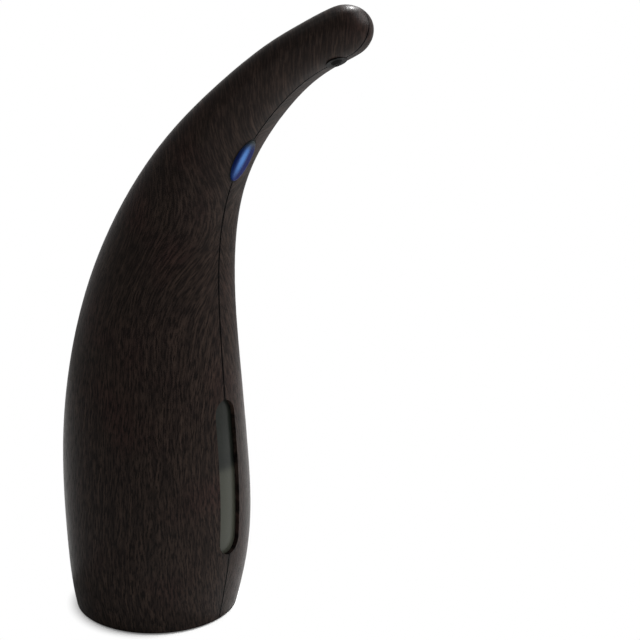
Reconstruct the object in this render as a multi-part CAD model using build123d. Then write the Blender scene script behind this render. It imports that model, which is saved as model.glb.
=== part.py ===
from build123d import *
from math import acos, atan2, cos, degrees, pi, radians, sin, sqrt, tan
import os

# Automatic soap dispenser: an upright horn that leans forward into a spout.
# Origin: centre of the base on the floor. +Z is up and the spout points to -Y.
# The mid plane is x = 0, where the two shells meet. Sizes are in millimetres.

# Outside form
spine_height = 265.7
spine_reach = 105.4
body_half_depth = 48.4
body_half_width = 46.1
tip_length = 11.6
tip_lean = 75
station_height_shares = (0, 0.1415, 0.2796, 0.4212, 0.5627, 0.7019, 0.8359, 0.9379, 1)
station_reach_shares = (0, 0.0152, -0.0038, -0.0038, 0.0361, 0.1385, 0.3387, 0.6366, 1)
station_depth_shares = (0.849, 0.957, 1, 0.938, 0.806, 0.599, 0.378, 0.244, 0.2045)
station_width_shares = (0.876, 1, 0.970, 0.909, 0.798, 0.670, 0.518, 0.393, 0.2885)
section_count = 24
dome_angles = (15, 30, 45, 60, 75, 85)
wall = 2.5
seam_width = 0.4
seam_depth = 0.5

# Clearances
fit = 0.05
gap = 0.3
overrun = 5.0

# Floor, feet and base
foot_radius = 3.0
foot_recess = 0.4
base_lift = 0.8
base_plate = 3.2
deck_height = 15.8
deck_thickness = 2.0
base_fit = 0.25
base_high_share = 0.08

# Batteries, four AAA cells side by side
cell_radius = 5.25
cell_length = 43.7
cell_button_radius = 1.9
cell_button_length = 0.8
cell_gap = 0.4
cell_count = 4
spring_length = 4.5
spring_radius = 3.2
spring_tip_radius = 1.6
contact_thickness = 0.4
contact_width = 7.5
contact_height = 7.0
contact_tab_width = 3.0
bay_wall = 1.6

# Battery cover
cover_thickness = 1.6
cover_ledge = 3.0
cover_corner = 6.0
cover_tab_width = 12.0
cover_tab_reach = 10.5
cover_recess = 1.9
screw_boss_radius = 3.6
cover_screw_radius = 1.5
cover_screw_head_radius = 2.9
cover_screw_head_height = 1.0
cover_screw_length = 8.5
coin_slot_width = 1.0
coin_slot_depth = 0.5

# Tank
tank_inset = 4.0
tank_wall = 1.5
tank_floor = 38.0
tank_top = 128.0
tank_back = 14.0
tank_low_share = 0.06
tank_high_share = 0.5
tank_leg_radius = 2.6
outlet_radius = 3.2

# Level window
window_width = 14.0
window_bottom = 35.0
window_top = 109.0
window_recess = 2.2
window_lip = 2.0
window_flange = 1.0

# Sensor lens, which is also the push button
lens_place_share = 0.769
lens_half_width = 4.4
lens_half_length = 10.2
lens_rise = 1.5
lens_depth = 4.5
lens_flange = 0.8
lens_flange_width = 0.8
lens_corner = 0.9
lens_travel = 0.8
gasket_width = 0.9
gasket_depth = 3.2
stem_radius = 1.4
stem_length = 1.7
plunger_radius = 1.2
plunger_length = 1.8
switch_side = 4.6
switch_height = 2.0
sensor_board_width = 11.0
sensor_board_length = 21.0
board_thickness = 1.2
diode_radius = 1.5
diode_height = 3.8
diode_spacing = 13.6
status_led_side = 1.6
status_led_height = 0.8
bracket_thickness = 1.5
bracket_width = 16.0

# Nozzle
nozzle_place_share = 0.981
nozzle_radius = 4.4
nozzle_flange_rise = 0.3
nozzle_seat_depth = 3.6
nozzle_bore = 2.5
nozzle_tip_rise = 1.4
nozzle_tip_end_radius = 1.4
nozzle_tip_bore = 0.8
barb_radius = 1.5
barb_bore = 0.9
barb_length = 4.5

# Soap tubes
tube_radius = 2.4
tube_bore = 1.55

# Refill opening on the upper back
lid_place_share = 0.60
lid_radius = 13.5
lid_thickness = 2.0
neck_radius = 10.5
neck_wall = 1.5
neck_drop = 17.0
neck_flange = 1.6
seal_thickness = 0.8
seal_width = 1.6
hinge_reach = 1.9
hinge_depth = 1.9
hinge_width = 8.0
knuckle_radius = 1.2
hinge_pin_radius = 0.7
hinge_pin_length = 11.8
finger_notch_radius = 5.0
finger_notch_depth = 0.9

# Gear train
gear_module = 0.5
wheel_teeth = 36
pinion_teeth = 12
wheel_width = 2.6
pinion_width = 2.8
tooth_share = 0.86
hub_radius = 2.0
axle_radius = 1.0
gearbox_floor = 1.2
gearbox_wall = 1.5
gearbox_gap = 0.4
layer_gap = 0.3
gearbox_lid = 1.5
wheel_clearance = 1.2
motor_x = -5.0
motor_y = 25.0
pump_x = 8.0
pump_y = -8.0

# Motor
motor_radius = 10.0
motor_height = 19.0
motor_can_wall = 0.7
motor_cap_height = 2.4
motor_shaft_radius = 1.0
magnet_thickness = 2.0
armature_gap = 0.5
armature_margin = 2.0
commutator_radius = 2.2

# Gear pump
pump_teeth = 10
pump_module = 1.0
pump_gear_width = 5.0
pump_wall = 2.0
pump_floor = 1.5
pump_lid = 1.5
pump_tip_clearance = 0.1
pump_port_radius = 2.6
pump_ear_radius = 2.8
pump_seal_width = 0.8
screw_radius = 1.0
screw_head_radius = 1.9
screw_head_height = 1.2
screw_reach = 5.0

# Boards and leads
main_board_width = 17.0
main_board_length = 29.0
main_board_x = -0.575 * body_half_width
main_board_y = -8.0
standoff_height = 3.0
standoff_radius = 1.8
lead_radius = 0.6
cable_radius = 1.2

# Spine and sections of the body
spine_points = [
    (0, -spine_reach * reach, spine_height * height)
    for reach, height in zip(station_reach_shares, station_height_shares)
]
tip_direction = (0, -sin(radians(tip_lean)), cos(radians(tip_lean)))
spine = Spline(*spine_points, tangents=[(0, 0, 1), tip_direction])
station_places = [spine.param_at_point(point) for point in spine_points]
depth_curve = Spline(
    *[
        (place * spine_height, share * body_half_depth)
        for place, share in zip(station_places, station_depth_shares)
    ]
)
width_curve = Spline(
    *[
        (place * spine_height, share * body_half_width)
        for place, share in zip(station_places, station_width_shares)
    ]
)


def curve_height(curve, place):
    """Height of a profile curve at a share of the spine, found by halving."""
    low, high = 0.0, 1.0
    for step in range(30):
        middle = (low + high) / 2
        if curve.position_at(middle).X < place * spine_height:
            low = middle
        else:
            high = middle
    return curve.position_at((low + high) / 2).Y


def half_depth(place):
    return curve_height(depth_curve, place)


def half_width(place):
    return curve_height(width_curve, place)


def spine_plane(place):
    """Plane square to the spine: x across the body, y towards its back."""
    return Plane(origin=spine.position_at(place), x_dir=(1, 0, 0), z_dir=spine.tangent_at(place))


def oval(across, along):
    return scale(Circle(1), (across, along, 1))


def body_form(inset):
    """The outside form of the body, drawn in by a distance all round."""
    sections = []
    for index in range(section_count + 1):
        place = index / section_count
        section = oval(half_width(place) - inset, half_depth(place) - inset)
        sections.append(spine_plane(place) * section)
    end = spine_plane(1)
    for angle in dome_angles:
        shrink = cos(radians(angle))
        rise = (tip_length - inset) * sin(radians(angle))
        section = oval((half_width(1) - inset) * shrink, (half_depth(1) - inset) * shrink)
        sections.append(end.offset(rise) * section)
    return loft(sections)


def part_form(inset, low, high, count):
    """A length of the body form between two places on the spine."""
    sections = []
    for index in range(count + 1):
        place = low + (high - low) * index / count
        section = oval(half_width(place) - inset, half_depth(place) - inset)
        sections.append(spine_plane(place) * section)
    return loft(sections)


def skin_point(place, side):
    """Point of the mid plane outline, in front (side -1) or behind (side 1)."""
    plane = spine_plane(place)
    return plane.origin + plane.y_dir * (side * half_depth(place))


def skin_plane(place, side):
    """Plane on the mid plane outline whose z points out of the body."""
    step = 0.002
    along = (skin_point(place + step, side) - skin_point(place - step, side)).normalized()
    outward = Vector(1, 0, 0).cross(along) * -side
    return Plane(origin=skin_point(place, side), x_dir=(1, 0, 0), z_dir=outward)


def inside_point(place, across_share, back_share):
    """Point inside the body, given as shares of its half width and half depth."""
    plane = spine_plane(place)
    across = plane.x_dir * (across_share * half_width(place))
    return plane.origin + across + plane.y_dir * (back_share * half_depth(place))


outer_form = body_form(0)
inner_form = body_form(wall)
skin_limit = body_form(wall / 2)
lens_plane = skin_plane(lens_place_share, -1)
nozzle_plane = skin_plane(nozzle_place_share, -1)
lid_plane = skin_plane(lid_place_share, 1)
body_span = 2 * (spine_height + spine_reach)


def slab(bottom, top):
    """Everything between two heights."""
    middle = (bottom + top) / 2
    return Pos(0, 0, middle) * Box(body_span, body_span, top - bottom)


def front_part(bottom, top, back):
    """Everything between two heights and in front of a back plane."""
    middle = (bottom + top) / 2
    return Pos(0, back - body_span / 2, middle) * Box(body_span, body_span, top - bottom)


def rod(radius, bottom, top, x=0, y=0):
    """Upright cylinder between two heights."""
    return Pos(x, y, (bottom + top) / 2) * Cylinder(radius, top - bottom)


def block(width, depth, bottom, top, x=0, y=0):
    """Upright box between two heights."""
    return Pos(x, y, (bottom + top) / 2) * Box(width, depth, top - bottom)


def rod_on(plane, radius, bottom, top, x=0, y=0):
    """Cylinder square to a plane, between two distances from it."""
    return plane * rod(radius, bottom, top, x, y)


def oval_on(plane, across, along, bottom, top):
    """Oval prism square to a plane, between two distances from it."""
    return extrude(plane.offset(bottom) * oval(across, along), amount=top - bottom)


def tube_along(path, radius, bore):
    """Hollow round tube along a path, or a solid one where bore is zero."""
    start = Plane(origin=path @ 0, z_dir=path % 0)
    tube = sweep(start * Circle(radius), path=path)
    if bore > 0:
        tube -= sweep(start * Circle(bore), path=path)
    return tube


def cord_along(points, radius, bore=0):
    """Tube through a list of points, with each arc as large as its runs allow."""
    stops = [Vector(*point) for point in points]
    radii = []
    for before, corner, after in zip(stops, stops[1:], stops[2:]):
        turn = (corner - before).get_angle(after - corner)
        shorter = min((corner - before).length, (after - corner).length)
        radii.append(0.45 * shorter / tan(radians(turn / 2)))
    return tube_along(FilletPolyline(*stops, radius=radii), radius, bore)


# Places in the base
plate_top = base_lift + base_plate
deck_bottom = deck_height - deck_thickness
cell_pitch = 2 * cell_radius + cell_gap
cell_height = deck_bottom - gap - cell_radius
cell_rows = [(index - (cell_count - 1) / 2) * cell_pitch for index in range(cell_count)]
bay_length = 2 * contact_thickness + spring_length + cell_length + cell_button_length
bay_depth = cell_count * cell_pitch + cell_gap
recess_length = bay_length + 2 * cover_ledge
recess_depth = bay_depth + 2 * cover_ledge
cover_screw_y = recess_depth / 2 + cover_tab_reach - cover_tab_width / 2
foot_shares = ((0.715, 0), (-0.715, 0), (0.2, -0.65), (-0.2, -0.65), (0.25, 0.64), (-0.25, 0.64))
foot_places = [(body_half_width * x, body_half_depth * y) for x, y in foot_shares]
base_screw_shares = ((0.425, -0.566), (-0.425, -0.566), (0.425, 0.566), (-0.425, 0.566))
base_screw_places = [(body_half_width * x, body_half_depth * y) for x, y in base_screw_shares]
boss_radius = 2 * screw_radius + 2 * wall / 5
boss_top = deck_bottom - 2 * gap
leg_shares = ((0.65, 0.17), (-0.65, 0.22), (0.56, -0.56), (-0.52, -0.6))
leg_places = [(body_half_width * x, body_half_depth * y) for x, y in leg_shares]
board_bottom = deck_height + standoff_height
board_top = board_bottom + board_thickness
standoff_x = main_board_width / 2 - screw_head_radius - gap
standoff_y = main_board_length / 2 - screw_head_radius - gap
standoff_places = [
    (main_board_x + side * standoff_x, main_board_y + end * standoff_y)
    for side in (-1, 1)
    for end in (-1, 1)
]

# Places in the gear train: layers from the floor up, and the four shafts
layer_step = wheel_width + layer_gap + gap / 2
layer_a = deck_height + gearbox_floor + gearbox_gap
layer_b = layer_a + layer_step
layer_c = layer_b + layer_step
gearbox_top = layer_c + wheel_width + gearbox_gap
gearbox_lid_top = gearbox_top + gearbox_lid
mesh_distance = gear_module * (wheel_teeth + pinion_teeth) / 2
wheel_tip = gear_module * (wheel_teeth / 2 + 1)
train_length = sqrt((pump_x - motor_x) ** 2 + (pump_y - motor_y) ** 2)
train_heading = atan2(pump_y - motor_y, pump_x - motor_x)


def train_bend():
    """Angle of the outer legs of the zigzag that joins motor and pump, by halving."""
    low, high = 0.0, pi / 6
    for step in range(40):
        middle = (low + high) / 2
        reach = 2 * cos(middle) + sqrt(1 - (2 * sin(middle)) ** 2)
        if reach * mesh_distance > train_length:
            low = middle
        else:
            high = middle
    return (low + high) / 2


outer_leg = train_heading + train_bend()
middle_leg = train_heading - atan2(2 * sin(train_bend()), sqrt(1 - (2 * sin(train_bend())) ** 2))
first_x = motor_x + mesh_distance * cos(outer_leg)
first_y = motor_y + mesh_distance * sin(outer_leg)
second_x = first_x + mesh_distance * cos(middle_leg)
second_y = first_y + mesh_distance * sin(middle_leg)

# Places in the pump
pump_pitch_radius = pump_module * pump_teeth / 2
pump_tip = pump_pitch_radius + 0.95 * pump_module
idle_x = pump_x + 2 * pump_pitch_radius
port_x = pump_x + pump_pitch_radius
chamber_radius = pump_tip + pump_tip_clearance
pump_outside = chamber_radius + pump_wall
chamber_bottom = gearbox_lid_top + pump_floor
chamber_top = chamber_bottom + pump_gear_width + 2 * pump_tip_clearance
pump_lid_top = chamber_top + pump_lid
port_height = (chamber_bottom + chamber_top) / 2
pump_shaft_radius = 1.5 * axle_radius
ear_places = [
    (port_x + side * 0.8 * pump_outside, pump_y + end * 1.18 * pump_outside)
    for side in (-1, 1)
    for end in (-1, 1)
]

# Places behind the lens, measured from the skin
lens_underside = -(lens_depth + lens_flange)
stem_end = lens_underside - stem_length
switch_top = stem_end - lens_travel - plunger_radius / 3
sensor_board_top = switch_top - switch_height
sensor_board_back = sensor_board_top - board_thickness
bracket_back = sensor_board_back - bracket_thickness

# Places in the refill neck, measured from the skin
seal_place = -(lid_thickness + 2.6)
neck_top = seal_place - seal_thickness
neck_corner = lid_plane.origin + lid_plane.z_dir * (neck_top - neck_drop)
neck_y = neck_corner.Y
hinge_y = -(lid_radius + hinge_reach)


def shell_bosses(side):
    """Screw bosses low in one shell, each with a web to the wall."""
    bosses = []
    for x, y in base_screw_places:
        if x * side > 0:
            reach = boss_radius * 3
            web = Pos(reach / 2, 0, 0) * Box(reach, screw_radius * 2, boss_top - plate_top - gap)
            angle = degrees(atan2(y, x))
            middle = (boss_top + plate_top + gap) / 2
            boss = rod(boss_radius, plate_top + gap, boss_top, x, y)
            bosses.append((boss + Pos(x, y, middle) * Rot(0, 0, angle) * web) & skin_limit)
    return bosses


def window_opening(grow):
    """Round ended slot through the front wall, made larger by a margin."""
    height = window_top - window_bottom + 2 * grow
    width = window_width + 2 * grow
    middle = (window_top + window_bottom) / 2
    face = Plane.XZ * Pos(0, middle) * SlotOverall(height, width, rotation=90)
    return extrude(face, amount=body_half_depth * 2)


def hollow_shell():
    """Both shells in one piece, with every opening cut."""
    shell = outer_form - inner_form
    groove = Box(seam_width, body_span, body_span) - body_form(seam_depth)
    shell -= groove
    shell -= window_opening(0)
    hole_across = lens_half_width + gasket_width
    hole_along = lens_half_length + gasket_width
    shell -= oval_on(lens_plane, hole_across, hole_along, -2 * wall, overrun)
    shell -= rod_on(nozzle_plane, nozzle_radius, -2 * wall, overrun)
    shell -= rod_on(lid_plane, lid_radius + gap, neck_top - neck_flange, overrun)
    slot_far = hinge_y - hinge_depth - 3 * gap
    slot_near = hinge_y + hinge_reach + gap
    pocket = block(hinge_width + 2 * gap, slot_near - slot_far, -2 * wall, overrun)
    shell -= lid_plane * Pos(0, (slot_far + slot_near) / 2, 0) * pocket
    pin_hole = Rot(0, 90, 0) * Cylinder(hinge_pin_radius + fit, hinge_pin_length + 2 * fit)
    shell -= lid_plane * Pos(0, hinge_y, -hinge_depth) * pin_hole
    notch = Pos(0, lid_radius + gap, finger_notch_radius - finger_notch_depth)
    shell -= lid_plane * notch * Sphere(finger_notch_radius)
    shell -= slab(-overrun, base_lift)
    return shell


def shell_half(whole, side):
    half = Pos(side * body_span / 2, 0, 0) * Box(body_span, body_span, body_span * 2)
    shell = whole & half
    for boss in shell_bosses(side):
        shell += boss
    for x, y in base_screw_places:
        shell -= rod(screw_radius + fit / 2, plate_top, boss_top - wall, x, y)
    return shell


def make_shells():
    whole = hollow_shell()
    return {"left_shell": shell_half(whole, -1), "right_shell": shell_half(whole, 1)}


def make_level_window():
    """Pane in the slot, with a wider flange behind the wall."""
    back = body_form(wall + fit + window_flange)
    pane = (body_form(window_recess) - back) & window_opening(-fit)
    flange = (body_form(wall + fit) - back) & window_opening(window_lip)
    return {"level_window": pane + flange}


def make_lens():
    """Oval push button lens with a flange and a stem, in a rubber ring."""
    cap = oval_on(lens_plane, lens_half_width, lens_half_length, -lens_depth, lens_rise)
    cap = fillet(cap.edges().sort_by(Axis(lens_plane.origin, lens_plane.z_dir))[-1], lens_corner)
    across = lens_half_width + lens_flange_width
    along = lens_half_length + lens_flange_width
    cap += oval_on(lens_plane, across, along, lens_underside, -lens_depth)
    cap += rod_on(lens_plane, stem_radius, stem_end, lens_underside)
    ring_across = lens_half_width + gasket_width - fit
    ring_along = lens_half_length + gasket_width - fit
    ring = oval_on(lens_plane, ring_across, ring_along, -gasket_depth, overrun)
    inner_across = lens_half_width + 3 * fit
    inner_along = lens_half_length + 3 * fit
    ring -= oval_on(lens_plane, inner_across, inner_along, -overrun, 2 * overrun)
    return {"sensor_lens": cap, "lens_gasket": ring & outer_form}


def make_sensor_board():
    """Board behind the lens with its switch, diodes and bracket."""
    board = lens_plane * block(
        sensor_board_width, sensor_board_length, sensor_board_back, sensor_board_top
    )
    bracket = lens_plane * block(body_span, bracket_width, bracket_back, sensor_board_back)
    bracket &= body_form(wall + fit)
    pocket_end = switch_top - lens_travel - plunger_radius
    switch = lens_plane * block(switch_side, switch_side, sensor_board_top, switch_top)
    switch -= rod_on(lens_plane, plunger_radius + fit, pocket_end, overrun)
    plunger = rod_on(lens_plane, plunger_radius, switch_top - plunger_radius / 2, stem_end)
    diodes = []
    for end in (-1, 1):
        place = end * diode_spacing / 2
        top = sensor_board_top + diode_height
        stalk = rod_on(lens_plane, diode_radius, sensor_board_top, top - diode_radius, 0, place)
        dome = lens_plane * Pos(0, place, top - diode_radius) * Sphere(diode_radius)
        diodes.append(stalk + dome)
    led_y = (switch_side + diode_spacing) / 4 - diode_radius / 2
    led = lens_plane * block(
        status_led_side, status_led_side, sensor_board_top, sensor_board_top + status_led_height, 0, led_y
    )
    return {
        "sensor_board": board,
        "sensor_bracket": bracket,
        "button_switch": switch,
        "switch_plunger": plunger,
        "infrared_emitter": diodes[1],
        "infrared_receiver": diodes[0],
        "status_light": led,
    }


def make_nozzle():
    """Round seat in the spout with a side barb, and the soft outlet tip."""
    seat = rod_on(nozzle_plane, nozzle_radius - fit, -nozzle_seat_depth, nozzle_flange_rise)
    block_bottom = -(nozzle_seat_depth + 2 * barb_length - 2 * wall + barb_radius)
    seat += rod_on(nozzle_plane, nozzle_bore + nozzle_radius / 3, block_bottom, -nozzle_seat_depth)
    barb_place = block_bottom + 2 * barb_radius
    barb_end = nozzle_radius + barb_length
    barb = Rot(90, 0, 0) * Cylinder(barb_radius, barb_end)
    seat += nozzle_plane * Pos(0, -barb_end / 2, barb_place) * barb
    channel = Rot(90, 0, 0) * Cylinder(barb_bore, barb_end + fit)
    seat -= nozzle_plane * Pos(0, -barb_end / 2, barb_place) * channel
    seat -= rod_on(nozzle_plane, barb_bore, barb_place, 0)
    seat -= rod_on(nozzle_plane, nozzle_bore, -nozzle_seat_depth, overrun)
    sleeve = rod_on(nozzle_plane, nozzle_bore - fit, -nozzle_seat_depth, nozzle_flange_rise)
    rise = nozzle_tip_rise - nozzle_flange_rise
    beak = Pos(0, 0, nozzle_flange_rise + rise / 2)
    beak = beak * Cone(nozzle_bore - fit, nozzle_tip_end_radius, rise)
    tip = sleeve + nozzle_plane * beak
    tip -= rod_on(nozzle_plane, nozzle_tip_bore, -2 * wall, 2 * overrun)
    return {"nozzle_seat": seat, "nozzle_tip": tip}, barb_place


def make_refill():
    """Hinged lid in the upper back, its pin and seal, and the neck to the tank."""
    plate = (outer_form - body_form(lid_thickness)) & rod_on(lid_plane, lid_radius, -4 * wall, overrun)
    plug = rod_on(lid_plane, neck_radius, seal_place, 0)
    plug -= rod_on(lid_plane, neck_radius - seal_width, -2 * overrun, overrun)
    lid = plate + (plug & body_form(lid_thickness / 2))
    knuckle = Rot(0, 90, 0) * Cylinder(knuckle_radius, hinge_width)
    arm_depth = hinge_reach + lid_radius / 4
    arm = block(hinge_width, arm_depth, -hinge_depth - knuckle_radius, -hinge_depth + knuckle_radius / 2)
    lid += lid_plane * Pos(0, hinge_y + arm_depth / 2, 0) * arm
    lid += lid_plane * Pos(0, hinge_y, -hinge_depth) * knuckle
    bore = Rot(0, 90, 0) * Cylinder(hinge_pin_radius + fit, 2 * hinge_width)
    lid -= lid_plane * Pos(0, hinge_y, -hinge_depth) * bore
    pin = Rot(0, 90, 0) * Cylinder(hinge_pin_radius, hinge_pin_length)
    pin = lid_plane * Pos(0, hinge_y, -hinge_depth) * pin
    seal = rod_on(lid_plane, neck_radius, neck_top, seal_place)
    seal -= rod_on(lid_plane, neck_radius - seal_width, -2 * overrun, overrun)
    start = lid_plane.origin + lid_plane.z_dir * neck_top
    bottom = Vector(0, neck_y, tank_top - tank_wall)
    neck = cord_along([tuple(start), tuple(neck_corner), tuple(bottom)], neck_radius)
    hollow = cord_along([tuple(start), tuple(neck_corner), tuple(bottom)], neck_radius - neck_wall)
    flange = rod_on(lid_plane, lid_radius - gap, neck_top - neck_flange, neck_top)
    foot = rod(neck_radius + neck_wall, tank_top, tank_top + neck_flange, 0, neck_y)
    mouth = rod_on(lid_plane, neck_radius - neck_wall, neck_top - neck_flange, overrun)
    neck = neck + flange + foot - hollow - mouth
    return {"refill_lid": lid, "refill_hinge_pin": pin, "refill_seal": seal, "refill_neck": neck}


def make_tank():
    """Tank behind the window, on four legs, with its outlet and strainer."""
    outside = part_form(tank_inset, tank_low_share, tank_high_share, 8)
    outside &= front_part(tank_floor, tank_top, tank_back)
    inside = part_form(tank_inset + tank_wall, tank_low_share, tank_high_share, 8)
    inside &= front_part(tank_floor + tank_wall, tank_top - tank_wall, tank_back - tank_wall)
    tank = outside - inside
    for x, y in leg_places:
        tank += rod(tank_leg_radius, deck_height, tank_floor + tank_wall / 2, x, y)
    outlet_y = outlet_place()
    tank -= rod(neck_radius + fit, tank_top - 2 * tank_wall, tank_top + overrun, 0, neck_y)
    tank -= rod(barb_radius + pump_wall / 2, tank_floor - overrun, tank_floor + 2 * tank_wall, port_x, outlet_y)
    top = tank_floor + tank_wall
    strainer = rod(2 * outlet_radius, top, top + tank_wall, port_x, outlet_y)
    for index in range(6):
        angle = index * pi / 3
        x = port_x + outlet_radius * cos(angle)
        y = outlet_y + outlet_radius * sin(angle)
        strainer -= rod(outlet_radius / 4, top, top + 2 * tank_wall, x, y)
    return {"soap_tank": tank, "outlet_strainer": strainer}


def outlet_place():
    """Distance forward of the tank outlet, in front of the pump's inlet barb."""
    return pump_y - pump_outside - 2 * barb_length - 2 * tube_radius


def make_soap_path(barb_place):
    """Elbow and short tube into the pump, and the long tube up to the nozzle."""
    outlet_y = outlet_place()
    pump_face = pump_y - pump_outside
    elbow_radius = barb_radius + pump_wall / 2 - fit
    elbow_end = (port_x, pump_face - barb_length - 2 * gap, port_height)
    elbow_points = [(port_x, outlet_y, tank_floor + tank_wall), (port_x, outlet_y, port_height), elbow_end]
    path = FilletPolyline(*elbow_points, radius=(tank_floor - port_height) / 2)
    elbow = tube_along(path, barb_radius, 0)
    elbow += rod(elbow_radius, tank_floor - tank_wall, tank_floor + tank_wall, port_x, outlet_y)
    elbow += rod(outlet_radius, tank_floor - tank_wall, tank_floor, port_x, outlet_y)
    elbow -= tube_along(path, barb_bore, 0)
    rear = pump_face - gap
    front = outlet_y + tube_radius + barb_radius
    suction = Rot(90, 0, 0) * (Cylinder(tube_radius, rear - front) - Cylinder(tube_bore, rear - front))
    suction = Pos(port_x, (front + rear) / 2, port_height) * suction
    start = (port_x, pump_y + pump_outside + gap, port_height)
    turn = (port_x, 0.58 * body_half_depth, port_height)
    approach = -nozzle_radius - 2.5 * barb_length
    near = nozzle_plane.from_local_coords((0, approach, barb_place))
    end = nozzle_plane.from_local_coords((0, -nozzle_radius - gap, barb_place))
    route = [inside_point(*shares) for shares in delivery_shares]
    points = [start, turn] + [tuple(point) for point in route] + [tuple(near), tuple(end)]
    delivery = cord_along(points, tube_radius, tube_bore)
    return {"outlet_elbow": elbow, "suction_tube": suction, "delivery_tube": delivery}


delivery_shares = (
    (0.24, 0.325, 0.59),
    (0.40, 0.40, 0.575),
    (0.53, 0.465, 0.35),
    (0.64, 0.52, 0.0),
    (0.76, 0.42, 0.35),
    (0.85, 0.18, 0.15),
)


def rounded_block(width, depth, corner, bottom, top, x=0, y=0):
    face = Pos(x, y, bottom) * RectangleRounded(width, depth, corner)
    return extrude(face, amount=top - bottom)


def cover_outline(shrink, bottom, top):
    """Battery cover outline, with its screw tab at the back."""
    corner = cover_corner - shrink
    width = recess_length - 2 * shrink
    plate = rounded_block(width, recess_depth - 2 * shrink, corner, bottom, top)
    tab_length = 2 * cover_tab_reach
    tab_corner = cover_tab_width / 3 - shrink
    tab = rounded_block(
        cover_tab_width - 2 * shrink, tab_length - 2 * shrink, tab_corner, bottom, top, 0, recess_depth / 2
    )
    return plate + tab


def make_base():
    """Base moulding: floor plate, battery bay, deck, bosses and standoffs."""
    frame = part_form(wall + base_fit, 0, base_high_share, 3) & slab(base_lift, deck_height)
    bay_outer_length = bay_length + 2 * bay_wall
    bay_outer_depth = bay_depth + 2 * bay_wall
    around = slab(plate_top, deck_bottom) - block(bay_outer_length, bay_outer_depth, 0, deck_height)
    around -= rod(screw_boss_radius, 0, deck_height, 0, cover_screw_y)
    frame -= around
    for x, y in standoff_places:
        frame += rod(standoff_radius, deck_height - fit, board_bottom, x, y)
        frame -= rod(screw_radius + fit / 2, deck_height, board_bottom + fit, x, y)
    frame -= block(bay_length, bay_depth, -overrun, deck_bottom)
    frame -= cover_outline(0, -overrun, base_lift + cover_recess)
    hole_top = base_lift + cover_screw_length + cover_screw_head_height
    frame -= rod(cover_screw_radius + fit, 0, hole_top, 0, cover_screw_y)
    for x, y in foot_places:
        frame -= rod(foot_radius, -overrun, base_lift + foot_recess, x, y)
    for x, y in base_screw_places:
        frame -= rod(screw_radius + 2 * fit, -overrun, plate_top + overrun, x, y)
        frame -= rod(screw_head_radius + 2 * fit, -overrun, base_lift + screw_head_height, x, y)
    tab_hole = contact_thickness + 2 * fit
    for y in (cell_rows[0], cell_rows[-1]):
        x = -(bay_length - contact_thickness) / 2
        frame -= block(tab_hole, contact_tab_width + 2 * fit, deck_bottom - fit, deck_height + overrun, x, y)
    feet = [rod(foot_radius, 0, base_lift + foot_recess, x, y) for x, y in foot_places]
    screws = []
    for x, y in base_screw_places:
        head = rod(screw_head_radius, base_lift, base_lift + screw_head_height, x, y)
        screws.append(head + rod(screw_radius, base_lift, boss_top - wall - gap, x, y))
    return {"base_frame": frame, "rubber_feet": Compound(feet), "base_screws": Compound(screws)}


def make_battery_cover():
    """Cover plate held by one captive coin screw, with its rubber foot and flat gasket."""
    top = base_lift + cover_thickness
    cover = cover_outline(gap, base_lift, top)
    cover -= rod(cover_screw_radius + 2 * fit, -overrun, overrun, 0, cover_screw_y)
    head_top = base_lift + cover_screw_head_height
    cover -= rod(cover_screw_head_radius + 2 * fit, -overrun, head_top, 0, cover_screw_y)
    ring = cover_outline(gap, top, base_lift + cover_recess)
    ring -= block(bay_length, bay_depth, -overrun, overrun)
    ring -= rod(cover_screw_radius + 2 * fit, -overrun, overrun, 0, cover_screw_y)
    cover -= rod(foot_radius, -overrun, base_lift + foot_recess)
    foot = rod(foot_radius, 0, base_lift + foot_recess)
    screw = rod(cover_screw_head_radius, base_lift, head_top, 0, cover_screw_y)
    screw += rod(cover_screw_radius, base_lift, base_lift + cover_screw_length, 0, cover_screw_y)
    slot = block(body_span, coin_slot_width, base_lift - overrun, base_lift + coin_slot_depth)
    screw -= Pos(0, cover_screw_y, 0) * slot
    return {
        "battery_cover": cover,
        "battery_cover_foot": foot,
        "battery_cover_gasket": ring,
        "battery_cover_screw": screw,
    }


def make_batteries():
    """Four cells in series with a spring at each negative end."""
    cells = []
    springs = []
    contacts = []
    half = bay_length / 2
    for index, y in enumerate(cell_rows):
        side = 1 if index % 2 == 0 else -1
        place = Pos(0, y, cell_height)
        turn = Rot(0, 90, 0)
        body_middle = side * (half - contact_thickness - spring_length - cell_length / 2)
        cell = place * Pos(body_middle, 0, 0) * turn * Cylinder(cell_radius, cell_length)
        button_middle = -side * (half - contact_thickness - cell_button_length / 2)
        button = turn * Cylinder(cell_button_radius, cell_button_length)
        cells.append(cell + place * Pos(button_middle, 0, 0) * button)
        spring_middle = side * (half - contact_thickness - spring_length / 2)
        tilt = Rot(0, -90 * side, 0)
        spring = tilt * Cone(spring_radius, spring_tip_radius, spring_length)
        springs.append(place * Pos(spring_middle, 0, 0) * spring)
        for end in (-1, 1):
            x = end * (half - contact_thickness / 2)
            plate = place * Pos(x, 0, 0) * Box(contact_thickness, contact_width, contact_height)
            if end < 0 and index in (0, cell_count - 1):
                top = deck_height + contact_tab_width / 2
                plate += block(contact_thickness, contact_tab_width, cell_height, top, x, y)
            contacts.append(plate)
    return {
        "battery_cells": Compound(cells),
        "battery_springs": Compound(springs),
        "battery_contacts": Compound(contacts),
    }


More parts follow.
